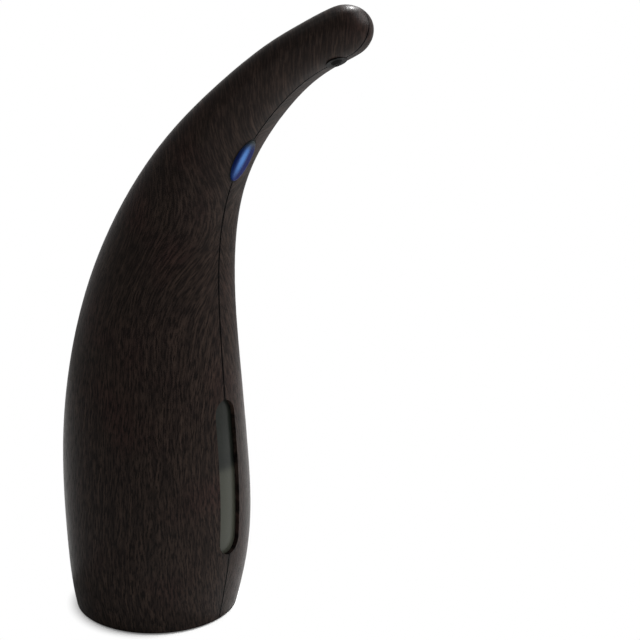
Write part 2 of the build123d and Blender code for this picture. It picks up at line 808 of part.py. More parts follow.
def gear_blank(teeth, module, bottom, top, x, y, phase):
    """Spur gear with involute flanks, one tooth centred on the phase angle."""
    pressure = radians(20)
    pitch = module * teeth / 2
    base = pitch * cos(pressure)
    tip = pitch + 0.95 * module
    root = pitch - 1.25 * module
    half_tooth = pi / (2 * teeth) * tooth_share + tan(pressure) - pressure
    radii = [max(base, root) + (tip - max(base, root)) * step / 4 for step in range(5)]
    flank = []
    for radius in radii:
        angle = acos(min(1, base / radius))
        flank.append((radius, half_tooth - tan(angle) + angle))
    if root < base:
        flank.insert(0, (root, flank[0][1]))
    points = []
    for tooth in range(teeth):
        middle = phase + 2 * pi * tooth / teeth
        for radius, spread in flank:
            points.append((radius * cos(middle - spread), radius * sin(middle - spread)))
        for radius, spread in reversed(flank):
            points.append((radius * cos(middle + spread), radius * sin(middle + spread)))
    face = make_face(Polyline(*points, close=True))
    return extrude(Pos(x, y, bottom) * face, amount=top - bottom)


def facing_gap(teeth, heading):
    """Phase that puts a tooth gap on a heading."""
    return heading + pi / teeth


def make_gears():
    """Pinion on the motor, two double gears and the output gear, all in mesh."""
    pinion = gear_blank(
        pinion_teeth, gear_module, layer_c, layer_c + pinion_width, motor_x, motor_y, outer_leg
    )
    pinion -= rod(motor_shaft_radius + fit / 2, 0, tank_floor, motor_x, motor_y)
    first = gear_blank(
        wheel_teeth, gear_module, layer_c, layer_c + wheel_width, first_x, first_y,
        facing_gap(wheel_teeth, outer_leg + pi),
    )
    first += gear_blank(
        pinion_teeth, gear_module, layer_b, layer_c + fit, first_x, first_y, middle_leg
    )
    first += rod(hub_radius, layer_a, layer_b + fit, first_x, first_y)
    first -= rod(axle_radius + fit, 0, tank_floor, first_x, first_y)
    second = gear_blank(
        wheel_teeth, gear_module, layer_b, layer_b + wheel_width, second_x, second_y,
        facing_gap(wheel_teeth, middle_leg + pi),
    )
    second += gear_blank(
        pinion_teeth, gear_module, layer_a, layer_b + fit, second_x, second_y, outer_leg
    )
    second += rod(hub_radius, layer_b, layer_c + wheel_width, second_x, second_y)
    second -= rod(axle_radius + fit, 0, tank_floor, second_x, second_y)
    output = gear_blank(
        wheel_teeth, gear_module, layer_a, layer_a + wheel_width, pump_x, pump_y,
        facing_gap(wheel_teeth, outer_leg + pi),
    )
    output -= rod(pump_shaft_radius + fit / 2, 0, tank_floor, pump_x, pump_y)
    pocket = gearbox_floor / 2
    axles = [
        rod(axle_radius, deck_height + pocket, gearbox_top + pocket, x, y)
        for x, y in ((first_x, first_y), (second_x, second_y))
    ]
    return {
        "motor_pinion": pinion,
        "first_gear": first,
        "second_gear": second,
        "output_gear": output,
        "gear_axles": Compound(axles),
    }


def disc_hull(discs, bottom, top):
    """Prism round a set of discs, each given as x, y and radius."""
    edges = []
    for x, y, radius in discs:
        edges.append((Pos(x, y) * CenterArc((0, 0), radius, 0, 360)).edges()[0])
    return extrude(Pos(0, 0, bottom) * make_hull(edges), amount=top - bottom)


def gearbox_discs(shrink):
    wheel = wheel_tip + wheel_clearance / 2 + gearbox_wall - shrink
    return [
        (motor_x, motor_y, motor_radius + gearbox_wall - shrink),
        (first_x, first_y, wheel),
        (second_x, second_y, wheel),
        (pump_x, pump_y, wheel),
    ]


def gearbox_screw_places():
    """Four lugs outside the gearbox wall, clear of the motor and the pump."""
    motor_disc, first_disc, second_disc, pump_disc = gearbox_discs(0)
    side = train_heading + pi / 2
    lugs = []
    for disc, heading in ((motor_disc, side), (motor_disc, side + pi), (second_disc, pi / 14), (pump_disc, pi)):
        x, y, radius = disc
        reach = radius + screw_radius
        lugs.append((x + reach * cos(heading), y + reach * sin(heading)))
    return lugs


def make_gearbox():
    """Housing on the deck and the lid that carries the motor and the pump."""
    floor_top = deck_height + gearbox_floor
    housing = disc_hull(gearbox_discs(0), deck_height, gearbox_top)
    lid = disc_hull(gearbox_discs(0), gearbox_top, gearbox_lid_top)
    lug_radius = screw_head_radius + gap
    for x, y in gearbox_screw_places():
        housing += rod(lug_radius, deck_height, gearbox_top, x, y)
        lid += rod(lug_radius, gearbox_top, gearbox_lid_top, x, y)
    housing -= disc_hull(gearbox_discs(gearbox_wall), floor_top, gearbox_top + overrun)
    pocket = gearbox_floor / 2
    for x, y in ((first_x, first_y), (second_x, second_y)):
        housing -= rod(axle_radius + fit / 2, deck_height + pocket, gearbox_top, x, y)
        lid -= rod(axle_radius + fit / 2, 0, gearbox_top + pocket, x, y)
    housing -= rod(pump_shaft_radius + fit, deck_height + pocket, gearbox_top, pump_x, pump_y)
    lid -= rod(pump_shaft_radius + fit, 0, tank_floor, pump_x, pump_y)
    lid -= rod(gear_module * (pinion_teeth / 2 + 1) + gap, 0, tank_floor, motor_x, motor_y)
    screws = []
    for x, y in gearbox_screw_places():
        housing -= rod(screw_radius + fit / 2, gearbox_top - screw_reach - gap, gearbox_top + fit, x, y)
        lid -= rod(screw_radius + 2 * fit, 0, tank_floor, x, y)
        shank = rod(screw_radius, gearbox_top - screw_reach, gearbox_lid_top + fit, x, y)
        screws.append(shank + rod(screw_head_radius, gearbox_lid_top, gearbox_lid_top + screw_head_height, x, y))
    return {"gearbox_housing": housing, "gearbox_lid": lid, "gearbox_screws": Compound(screws)}


def make_motor():
    """Small direct current motor standing on the gearbox lid."""
    top = gearbox_lid_top + motor_height
    inside = motor_radius - motor_can_wall
    can = rod(motor_radius, gearbox_lid_top, top, motor_x, motor_y)
    can -= rod(inside, gearbox_lid_top + motor_can_wall, top + overrun, motor_x, motor_y)
    can -= rod(motor_shaft_radius + fit, 0, top, motor_x, motor_y)
    cap = rod(motor_radius, top, top + motor_cap_height, motor_x, motor_y)
    shaft_top = top + motor_cap_height / 2
    cap -= rod(motor_shaft_radius + fit, 0, shaft_top + gap, motor_x, motor_y)
    bottom = gearbox_lid_top + motor_can_wall + armature_margin
    ring = rod(inside - fit, bottom - armature_margin + fit, top - armature_margin, motor_x, motor_y)
    ring -= rod(inside - magnet_thickness, 0, top, motor_x, motor_y)
    ring -= block(body_span, 2 * magnet_thickness, 0, top, motor_x, motor_y)
    core_radius = inside - magnet_thickness - armature_gap
    core = rod(core_radius, bottom, top - 2 * armature_margin, motor_x, motor_y)
    for index in range(3):
        angle = degrees(index * 2 * pi / 3)
        slot = Pos(core_radius, 0, top / 2) * Box(core_radius, armature_gap * 2, top)
        core -= Pos(motor_x, motor_y, 0) * Rot(0, 0, angle) * slot
    core += rod(commutator_radius, bottom, top - gap, motor_x, motor_y)
    core += rod(motor_shaft_radius, layer_c, shaft_top, motor_x, motor_y)
    return {
        "motor_can": can,
        "motor_cap": cap,
        "motor_magnets": Compound(ring.solids()),
        "motor_armature": core,
    }


def pump_discs(margin):
    radius = chamber_radius + margin
    return [(pump_x, pump_y, radius), (idle_x, pump_y, radius)]


def pump_block(bottom, top):
    """Pump outline with its four screw ears."""
    body = disc_hull(pump_discs(pump_wall), bottom, top)
    for x, y in ear_places:
        body += rod(pump_ear_radius, bottom, top, x, y)
    return body


def make_pump():
    """Gear pump: housing with two ports, lid, seal, shaft and two rotors."""
    housing = pump_block(gearbox_lid_top, chamber_top)
    for side in (-1, 1):
        length = pump_outside + barb_length
        place = Pos(port_x, pump_y + side * length / 2, port_height)
        housing += place * Rot(90, 0, 0) * Cylinder(barb_radius, length)
        housing -= place * Rot(90, 0, 0) * Cylinder(barb_bore, length + fit)
    for x, y, radius in pump_discs(0):
        housing -= rod(radius, chamber_bottom, chamber_top + overrun, x, y)
    housing -= rod(pump_shaft_radius + fit, 0, tank_floor, pump_x, pump_y)
    axle_bottom = chamber_bottom - pump_floor / 2
    housing -= rod(axle_radius + fit / 2, axle_bottom, chamber_top, idle_x, pump_y)
    groove = disc_hull(pump_discs(pump_seal_width * 1.6), chamber_top - pump_seal_width / 2, chamber_top)
    groove -= disc_hull(pump_discs(pump_seal_width * 0.6), 0, tank_floor)
    housing -= groove
    lid = pump_block(chamber_top, pump_lid_top)
    screws = []
    for x, y in ear_places:
        housing -= rod(screw_radius + fit / 2, chamber_top - screw_reach - gap, chamber_top + fit, x, y)
        lid -= rod(screw_radius + 2 * fit, 0, tank_floor, x, y)
        shank = rod(screw_radius, chamber_top - screw_reach, pump_lid_top + fit, x, y)
        screws.append(shank + rod(screw_head_radius, pump_lid_top, pump_lid_top + screw_head_height, x, y))
    rotor_bottom = chamber_bottom + pump_tip_clearance
    rotor_top = chamber_top - pump_tip_clearance
    drive = gear_blank(pump_teeth, pump_module, rotor_bottom, rotor_top, pump_x, pump_y, 0)
    drive -= rod(pump_shaft_radius + fit / 2, 0, tank_floor, pump_x, pump_y)
    idle = gear_blank(
        pump_teeth, pump_module, rotor_bottom, rotor_top, idle_x, pump_y, facing_gap(pump_teeth, pi)
    )
    idle -= rod(axle_radius + fit, 0, tank_floor, idle_x, pump_y)
    shaft_bottom = deck_height + gearbox_floor / 2
    shaft = rod(pump_shaft_radius, shaft_bottom, chamber_top - pump_tip_clearance, pump_x, pump_y)
    axle = rod(axle_radius, axle_bottom, chamber_top - pump_tip_clearance, idle_x, pump_y)
    return {
        "pump_housing": housing,
        "pump_lid": lid,
        "pump_seal": groove,
        "pump_screws": Compound(screws),
        "pump_drive_rotor": drive,
        "pump_idle_rotor": idle,
        "pump_shaft": shaft,
        "idle_axle": axle,
    }


def make_main_board():
    """Control board on four standoffs, its parts and its two screws."""
    board = block(
        main_board_width, main_board_length, board_bottom, board_top, main_board_x, main_board_y
    )
    screws = []
    for x, y in standoff_places:
        board -= rod(screw_radius + 2 * fit, 0, tank_floor, x, y)
        shank = rod(screw_radius, deck_height + gap, board_top + fit, x, y)
        screws.append(shank + rod(screw_head_radius, board_top, board_top + screw_head_height, x, y))
    parts = []
    for width_share, depth_share, height_share, x_share, y_share in component_shares:
        width = main_board_width * width_share
        depth = main_board_length * depth_share
        x = main_board_x + main_board_width * x_share
        y = main_board_y + main_board_length * y_share
        parts.append(block(width, depth, board_top, board_top + main_board_width * height_share, x, y))
    capacitor_x = main_board_x - main_board_width / 5
    radius = main_board_width / 7
    parts.append(rod(radius, board_top, board_top + 3 * radius, capacitor_x, main_board_y - radius))
    return {
        "control_board": board,
        "board_parts": Compound(parts),
        "board_screws": Compound(screws),
    }


socket_share = 0.32
component_shares = (
    (0.42, 0.24, 0.09, 0.16, -0.16),
    (0.2, 0.1, 0.24, 0.39, 0.27),
    (0.15, 0.1, 0.24, 0.15, 0.27),
    (0.3, 0.1, 0.12, -0.1, 0.16),
    (0.2, 0.08, 0.08, 0.05, -0.36),
)


def make_leads():
    """Leads of the motor and batteries, and the cable to the sensor board."""
    socket_y = main_board_y + main_board_length * socket_share + gap
    socket_z = board_top + main_board_width * 0.13
    top = gearbox_lid_top + motor_height + motor_cap_height
    motor_leads = []
    for offset in (0, 1):
        step = offset * 2.6 * lead_radius
        points = [(x - step, y + step, z + top) for x, y, z in motor_lead_route]
        points.append((points[-1][0], socket_y, socket_z))
        motor_leads.append(cord_along(points, lead_radius))
    tab_top = deck_height + contact_tab_width / 2
    tab_x = -(bay_length - contact_thickness) / 2
    pin = rod(lead_radius, tab_top, board_bottom, tab_x, cell_rows[0])
    rise = board_top + 4 * lead_radius
    far = cell_rows[-1]
    loop = cord_along(
        [
            (tab_x, far, tab_top),
            (tab_x, far, tab_top + 4 * standoff_height),
            (tab_x, socket_y - 2 * standoff_height, tab_top + 4 * standoff_height),
            (tab_x, socket_y - 2 * standoff_height, board_top),
        ],
        lead_radius,
    )
    start = [
        tuple(lens_plane.from_local_coords((-sensor_board_width / 3, y, z)))
        for y, z in (
            (-0.45 * sensor_board_length, sensor_board_back),
            (-0.45 * sensor_board_length, sensor_board_back - 4 * bracket_thickness),
        )
    ]
    middle = [tuple(inside_point(*shares)) for shares in cable_shares]
    finish = [
        (cable_end_x, socket_y + 2 * standoff_height, socket_z),
        (cable_end_x, socket_y + gap, socket_z),
    ]
    cable = cord_along(start + middle + finish, cable_radius)
    return {
        "motor_leads": Compound(motor_leads),
        "battery_leads": Compound([pin, loop]),
        "sensor_cable": cable,
    }


motor_lead_route = [
    (-10.0, 25.0, 0.0),
    (-10.0, 25.0, 8.0),
    (-17.5, 22.5, 3.0),
    (-19.5, 20.0, -12.0),
    (-18.9, 11.0, -24.5),
]
cable_end_x = main_board_x + main_board_width * 0.15
cable_shares = (
    (0.62, -0.50, 0.1),
    (0.52, -0.46, 0.40),
    (0.40, -0.47, 0.52),
    (0.24, -0.47, 0.56),
    (0.13, -0.49, 0.50),
    (0.08, -0.50, 0.30),
)


def collect_parts():
    parts = {}
    parts.update(make_shells())
    parts.update(make_level_window())
    parts.update(make_lens())
    parts.update(make_sensor_board())
    nozzle, barb_place = make_nozzle()
    parts.update(nozzle)
    parts.update(make_refill())
    parts.update(make_tank())
    parts.update(make_soap_path(barb_place))
    parts.update(make_base())
    parts.update(make_battery_cover())
    parts.update(make_batteries())
    parts.update(make_gears())
    parts.update(make_gearbox())
    parts.update(make_motor())
    parts.update(make_pump())
    parts.update(make_main_board())
    parts.update(make_leads())
    return parts


all_parts = collect_parts()
os.makedirs("parts", exist_ok=True)
for name, shape in all_parts.items():
    export_step(shape, f"parts/{name}.step")
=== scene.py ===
from math import pi, radians

import bpy
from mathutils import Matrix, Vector


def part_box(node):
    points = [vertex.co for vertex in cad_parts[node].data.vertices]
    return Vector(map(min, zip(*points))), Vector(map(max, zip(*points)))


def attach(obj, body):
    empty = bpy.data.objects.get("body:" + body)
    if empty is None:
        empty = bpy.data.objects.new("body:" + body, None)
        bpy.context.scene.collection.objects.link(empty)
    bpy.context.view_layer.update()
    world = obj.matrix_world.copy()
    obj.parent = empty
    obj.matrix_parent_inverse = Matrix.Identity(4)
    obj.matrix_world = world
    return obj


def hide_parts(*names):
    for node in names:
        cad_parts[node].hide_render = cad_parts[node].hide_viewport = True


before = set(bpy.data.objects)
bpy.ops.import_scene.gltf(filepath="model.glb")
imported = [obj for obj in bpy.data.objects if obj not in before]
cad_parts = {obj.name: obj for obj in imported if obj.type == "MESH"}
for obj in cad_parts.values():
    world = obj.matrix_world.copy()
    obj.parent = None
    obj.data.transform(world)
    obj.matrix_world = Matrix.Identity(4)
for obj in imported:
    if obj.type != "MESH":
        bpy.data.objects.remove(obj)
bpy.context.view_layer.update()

bl_info = {
    "name": "Soap Dispenser Finish",
    "version": (1, 0, 0),
    "blender": (4, 5, 0),
    "location": "3D View > Sidebar > Dispenser",
    "description": "Materials, small parts, light and camera for a horn-shaped soap dispenser",
    "category": "Object",
}


# Colours and nodes

def linear(code):
    """An sRGB hex colour as linear red, green and blue."""
    shares = [int(code[i:i + 2], 16) / 255 for i in (0, 2, 4)]
    return tuple(s / 12.92 if s <= 0.04045 else ((s + 0.055) / 1.055) ** 2.4 for s in shares)


def rgba(colour):
    """A colour with full opacity, as colour sockets take it."""
    return (*tuple(colour)[:3], 1.0)


def add_node(tree, kind, values=None, links=None, **settings):
    """Adds one shader node, sets its fields and sockets and joins its inputs."""
    made = tree.nodes.new(kind)
    for name, value in settings.items():
        setattr(made, name, value)
    for socket, value in (values or {}).items():
        made.inputs[socket].default_value = value
    for socket, source in (links or {}).items():
        tree.links.new(source, made.inputs[socket])
    return made


def start_material(name):
    """A material with an empty tree, its output and the piece's own coordinates."""
    material = bpy.data.materials.new(name)
    material.use_nodes = True
    tree = material.node_tree
    tree.nodes.clear()
    output = add_node(tree, "ShaderNodeOutputMaterial")
    place = add_node(tree, "ShaderNodeTexCoord")
    return material, tree, output, place.outputs["Object"]


def dress(material, *names):
    """Gives CAD nodes a material in every slot that they have."""
    for name in names:
        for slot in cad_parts[name].material_slots:
            slot.material = material


# Settings

class ShellSettings(bpy.types.PropertyGroup):
    film_colour: bpy.props.FloatVectorProperty(
        name="Film", description="Ground colour of the printed wood film",
        subtype="COLOR", size=3, default=linear("181311"), min=0, max=1)
    streak_colour: bpy.props.FloatVectorProperty(
        name="Streak", description="Lighter wood between the pores",
        subtype="COLOR", size=3, default=linear("28201c"), min=0, max=1)
    pore_colour: bpy.props.FloatVectorProperty(
        name="Pore", description="Dark pores of the printed wood",
        subtype="COLOR", size=3, default=linear("0d0a09"), min=0, max=1)
    tint_colour: bpy.props.FloatVectorProperty(
        name="Tint", description="Reddish patches of the film",
        subtype="COLOR", size=3, default=linear("271917"), min=0, max=1)
    grain_spacing: bpy.props.FloatProperty(
        name="Grain spacing", description="Distance from one grain line to the next",
        default=0.00085, min=0.0005, max=0.01, unit="LENGTH")
    joint_width: bpy.props.FloatProperty(
        name="Joint", description="Width of the dark line where the shells meet",
        default=0.0007, min=0.0001, max=0.003, unit="LENGTH")
    body_radius: bpy.props.FloatProperty(
        name="Body radius", description="Mean radius that the film is wrapped round",
        default=0.044, min=0.02, max=0.1, unit="LENGTH")
    spout_lean: bpy.props.FloatProperty(
        name="Spout lean", description="Slant of the grain on the spout, as rise over run",
        default=0.6, min=0, max=2)
    spout_foot: bpy.props.FloatProperty(
        name="Spout foot", description="Height where the grain starts to straighten",
        default=0.14, min=0, max=0.3, unit="LENGTH")
    spout_full: bpy.props.FloatProperty(
        name="Spout full", description="Height above which the grain has the spout's slant",
        default=0.205, min=0, max=0.3, unit="LENGTH")
    bulge_height: bpy.props.FloatProperty(
        name="Bulge", description="Height where the grain swings furthest at the joint",
        default=0.07, min=0, max=0.3, unit="LENGTH")
    swing_rate: bpy.props.FloatProperty(
        name="Swing rate", description="Radians of the grain's swing per metre of height",
        default=31.4, min=0, max=200)
    swing_reach: bpy.props.FloatProperty(
        name="Swing reach", description="How far the grain swings beside the joint",
        default=0.009, min=0, max=0.05, unit="LENGTH")
    grain_length: bpy.props.FloatProperty(
        name="Pore length", description="Length of one printed pore",
        default=0.0048, min=0.002, max=0.1, unit="LENGTH")


class WindowSettings(bpy.types.PropertyGroup):
    empty_colour: bpy.props.FloatVectorProperty(
        name="Above the level", description="Smoked window over the empty part of the tank",
        subtype="COLOR", size=3, default=linear("0f110e"), min=0, max=1)
    full_colour: bpy.props.FloatVectorProperty(
        name="Below the level", description="Smoked window over the soap",
        subtype="COLOR", size=3, default=linear("2a2b25"), min=0, max=1)
    level: bpy.props.FloatProperty(
        name="Level", description="Height of the tone change on the window",
        default=0.076, min=0.03, max=0.12, unit="LENGTH")


class LensSettings(bpy.types.PropertyGroup):
    glow_colour: bpy.props.FloatVectorProperty(
        name="Glow", description="Lens in front of the lit lamp",
        subtype="COLOR", size=3, default=linear("375c8f"), min=0, max=1)
    # painted glow at its dimmest, at the lens's edge
    painted_glow_rim_colour: bpy.props.FloatVectorProperty(
        name="Rim", description="Lens at its edge",
        subtype="COLOR", size=3, default=linear("0b123c"), min=0, max=1)
    shade_colour: bpy.props.FloatVectorProperty(
        name="Upper end", description="Unlit upper end of the lens",
        subtype="COLOR", size=3, default=linear("292e2e"), min=0, max=1)
    glow_aside: bpy.props.FloatProperty(
        name="Glow aside", description="How far the brightest spot sits to the left",
        default=0.0017, min=-0.005, max=0.005, unit="LENGTH")
    glow_forward: bpy.props.FloatProperty(
        name="Glow forward",
        description="Place of the brightest spot along the spout's direction",
        default=-0.0545, min=-0.2, max=0.2, unit="LENGTH")
    glow_height: bpy.props.FloatProperty(
        name="Glow height", description="Height of the brightest spot",
        default=0.2186, min=0, max=0.3, unit="LENGTH")
    glow_strength: bpy.props.FloatProperty(
        name="Glow strength", description="Light that the lens gives off",
        default=0.06, min=0, max=5)


class SmallPartSettings(bpy.types.PropertyGroup):
    wire: bpy.props.FloatProperty(
        name="Spring wire", description="Thickness of the battery spring wire",
        default=0.0005, min=0.0002, max=0.001, unit="LENGTH")
    turns: bpy.props.IntProperty(
        name="Spring turns", description="Turns in each battery spring",
        default=4, min=2, max=8)
    spring_pitch: bpy.props.FloatProperty(
        name="Spring pitch", description="Distance from one spring turn to the next",
        default=0.001, min=0.0005, max=0.003, unit="LENGTH")
    spring_tip: bpy.props.FloatProperty(
        name="Spring tip", description="Radius of a battery spring where it meets the cell",
        default=0.0016, min=0.001, max=0.003, unit="LENGTH")
    screw_head: bpy.props.FloatProperty(
        name="Screw head", description="Radius of the base screw heads",
        default=0.0019, min=0.001, max=0.004, unit="LENGTH")
    screw_shank: bpy.props.FloatProperty(
        name="Screw shank", description="Radius of the base screw shanks",
        default=0.001, min=0.0005, max=0.003, unit="LENGTH")


class StageSettings(bpy.types.PropertyGroup):
    floor_colour: bpy.props.FloatVectorProperty(
        name="Floor", description="Paper that the dispenser stands on",
        subtype="COLOR", size=3, default=linear("fbfbfa"), min=0, max=1)
    focal_length: bpy.props.FloatProperty(
        name="Focal length", description="Lens of the camera in millimetres on a 36 mm sensor",
        default=44.9, min=10, max=300)
    key_power: bpy.props.FloatProperty(
        name="Key", description="Power of the large soft lamp on the right",
        default=21.0, min=0, max=500, unit="POWER")
    top_power: bpy.props.FloatProperty(
        name="Top", description="Power of the soft lamp overhead",
        default=5.0, min=0, max=500, unit="POWER")
    spark_power: bpy.props.FloatProperty(
        name="Spark", description="Power of the small lamp that glints on the spout",
        default=14.0, min=0, max=500, unit="POWER")


class DISPENSER_OT_shells(bpy.types.Operator):
    """Prints the wood film on the two shells and the refill lid"""
    bl_idname = "dispenser.shells"
    bl_label = "Wood film shells"

    def execute(self, context):
        s = context.scene.dispenser_shell
        # ABS shells under a printed wood film and thin lacquer: dark and satin, with
        # short pores that run down the side and swing in towards the joint
        material, tree, output, place = start_material("wenge film on ABS")
        drift_size = 1 / 16  # 63 mm from one wander of the grain to the next
        drift_reach = 0.007
        drift = add_node(tree, "ShaderNodeTexNoise",
                         {"Scale": 1 / drift_size, "Detail": 2.0, "Roughness": 0.5},
                         {"Vector": place})
        drift = add_node(tree, "ShaderNodeVectorMath", {1: (0.5, 0.5, 0.5)},
                         {0: drift.outputs["Color"]}, operation="SUBTRACT")
        drift = add_node(tree, "ShaderNodeVectorMath", {1: (0.0, drift_reach, 0.0)},
                         {0: drift.outputs["Vector"]}, operation="MULTIPLY")
        bent = add_node(tree, "ShaderNodeVectorMath", None,
                        {0: place, 1: drift.outputs["Vector"]}, operation="ADD")
        # on the body the lines are spread by their way round it, alike on both sides of
        # the joint; on the spout they are spread along it and slant towards the joint
        axes = add_node(tree, "ShaderNodeSeparateXYZ", None, {"Vector": bent.outputs["Vector"]})
        apart = add_node(tree, "ShaderNodeMath", None, {0: axes.outputs["X"]},
                         operation="ABSOLUTE")
        ahead = add_node(tree, "ShaderNodeMath", {1: -1.0}, {0: axes.outputs["Y"]},
                         operation="MULTIPLY")
        angle = add_node(tree, "ShaderNodeMath", None,
                         {0: apart.outputs["Value"], 1: ahead.outputs["Value"]},
                         operation="ARCTAN2")
        around = add_node(tree, "ShaderNodeMath", {1: s.body_radius},
                          {0: angle.outputs["Value"]}, operation="MULTIPLY")
        level = add_node(tree, "ShaderNodeMath", {1: s.body_radius * pi / 2},
                         {0: axes.outputs["Y"]}, operation="ADD")
        level = add_node(tree, "ShaderNodeMath", {1: s.spout_lean},
                         {0: apart.outputs["Value"], 2: level.outputs["Value"]},
                         operation="MULTIPLY_ADD")
        spout = add_node(tree, "ShaderNodeMapRange",
                         {"From Min": s.spout_foot, "From Max": s.spout_full},
                         {"Value": axes.outputs["Z"]}, interpolation_type="SMOOTHSTEP")
        leant = add_node(tree, "ShaderNodeMix", None,
                         {0: spout.outputs["Result"], 2: around.outputs["Value"],
                          3: level.outputs["Value"]}, data_type="FLOAT")
        # beside the joint the lines swing one way at the bulge and the other way higher up
        still_at, full_at = 0.034, 0.004
        swing = add_node(tree, "ShaderNodeMath", {1: s.bulge_height},
                         {0: axes.outputs["Z"]}, operation="SUBTRACT")
        swing = add_node(tree, "ShaderNodeMath", {1: s.swing_rate},
                         {0: swing.outputs["Value"]}, operation="MULTIPLY")
        swing = add_node(tree, "ShaderNodeMath", None, {0: swing.outputs["Value"]},
                         operation="COSINE")
        near = add_node(tree, "ShaderNodeMapRange",
                        {"From Min": full_at, "From Max": still_at,
                         "To Min": -s.swing_reach, "To Max": 0.0},
                        {"Value": apart.outputs["Value"]}, interpolation_type="SMOOTHSTEP")
        leant = add_node(tree, "ShaderNodeMath", None,
                         {0: swing.outputs["Value"], 1: near.outputs["Result"],
                          2: leant.outputs[0]}, operation="MULTIPLY_ADD")
        bent = add_node(tree, "ShaderNodeCombineXYZ", None,
                        {"Y": leant.outputs["Value"], "Z": axes.outputs["Z"]})
        # real pores are under 0.3 mm wide and are drawn wider here, so that they show
        across = 1 / s.grain_spacing
        along = 1 / s.grain_length
        fine = add_node(tree, "ShaderNodeMapping", {"Scale": (0.0, across, along)},
                        {"Vector": bent.outputs["Vector"]})
        pores = add_node(tree, "ShaderNodeTexNoise",
                         {"Scale": 1.0, "Detail": 3.0, "Roughness": 0.6},
                         {"Vector": fine.outputs["Vector"]})
        pore_edge, pore_none = 0.40, 0.56
        pores = add_node(tree, "ShaderNodeMapRange",
                         {"From Min": pore_edge, "From Max": pore_none},
                         {"Value": pores.outputs["Fac"]})
        # the film is stretched over the spout, where its pores grow fainter with height
        stretch_foot, stretch_top, stretch_share = 0.13, 0.25, 0.35
        thin = add_node(tree, "ShaderNodeMapRange",
                        {"From Min": stretch_foot, "From Max": stretch_top,
                         "To Max": stretch_share},
                        {"Value": axes.outputs["Z"]})
        pores = add_node(tree, "ShaderNodeMath", None,
                         {0: pores.outputs["Result"], 1: thin.outputs["Result"]},
                         operation="MAXIMUM")
        # bands of paler wood: 2.5 times as wide as the pores and 4 times as long
        band_width, band_length = 2.5, 4
        band_start = (0.0, 3.7, 1.3)  # keeps the bands from lining up with the pores
        wide = add_node(tree, "ShaderNodeMapping",
                        {"Scale": (0.0, across / band_width, along / band_length),
                         "Location": band_start},
                        {"Vector": bent.outputs["Vector"]})
        bands = add_node(tree, "ShaderNodeTexNoise",
                         {"Scale": 1.0, "Detail": 2.0, "Roughness": 0.5},
                         {"Vector": wide.outputs["Vector"]})
        band_edge, band_full = 0.35, 0.68
        bands = add_node(tree, "ShaderNodeMapRange",
                         {"From Min": band_edge, "From Max": band_full},
                         {"Value": bands.outputs["Fac"]})
        # reddish patches about 33 mm apart
        patch_size = 1 / 30
        patch_edge, patch_full, patch_share = 0.52, 0.70, 0.4
        patch = add_node(tree, "ShaderNodeTexNoise", {"Scale": 1 / patch_size, "Detail": 1.0},
                         {"Vector": place})
        patch = add_node(tree, "ShaderNodeMapRange",
                         {"From Min": patch_edge, "From Max": patch_full,
                          "To Max": patch_share},
                         {"Value": patch.outputs["Fac"]})
        ground = add_node(tree, "ShaderNodeMix",
                          {6: rgba(s.film_colour), 7: rgba(s.streak_colour)},
                          {0: bands.outputs["Result"]}, data_type="RGBA")
        ground = add_node(tree, "ShaderNodeMix", {7: rgba(s.tint_colour)},
                          {0: patch.outputs["Result"], 6: ground.outputs[2]}, data_type="RGBA")
        wood = add_node(tree, "ShaderNodeMix", {6: rgba(s.pore_colour)},
                        {0: pores.outputs["Value"], 7: ground.outputs[2]}, data_type="RGBA")
        # the film stops short of the joint, where the bare black edge shows
        bare_edge = linear("050404")
        parts = add_node(tree, "ShaderNodeSeparateXYZ", None, {"Vector": place})
        aside = add_node(tree, "ShaderNodeMath", None, {0: parts.outputs["X"]},
                         operation="ABSOLUTE")
        joint = add_node(tree, "ShaderNodeMapRange",
                         {"From Min": s.joint_width / 2, "From Max": s.joint_width},
                         {"Value": aside.outputs["Value"]})
        wood = add_node(tree, "ShaderNodeMix", {6: rgba(bare_edge)},
                        {0: joint.outputs["Result"], 7: wood.outputs[2]}, data_type="RGBA")
        # pores are a little duller than the wood and sunk by a tenth of a millimetre
        pore_rough, wood_rough, pore_depth = 0.46, 0.38, 0.0001
        gloss = add_node(tree, "ShaderNodeMapRange",
                         {"To Min": pore_rough, "To Max": wood_rough},
                         {"Value": pores.outputs["Value"]})
        relief = add_node(tree, "ShaderNodeBump", {"Strength": 0.25, "Distance": pore_depth},
                          {"Height": pores.outputs["Value"]})
        surface = add_node(tree, "ShaderNodeBsdfPrincipled",
                           {"IOR": 1.5, "Specular IOR Level": 0.015, "Coat Weight": 0.017,
                            "Coat Roughness": 0.16},
                           {"Base Color": wood.outputs[2], "Roughness": gloss.outputs["Result"],
                            "Normal": relief.outputs["Normal"]})
        tree.links.new(surface.outputs["BSDF"], output.inputs["Surface"])
        dress(material, "left_shell", "right_shell", "refill_lid")
        return {"FINISHED"}


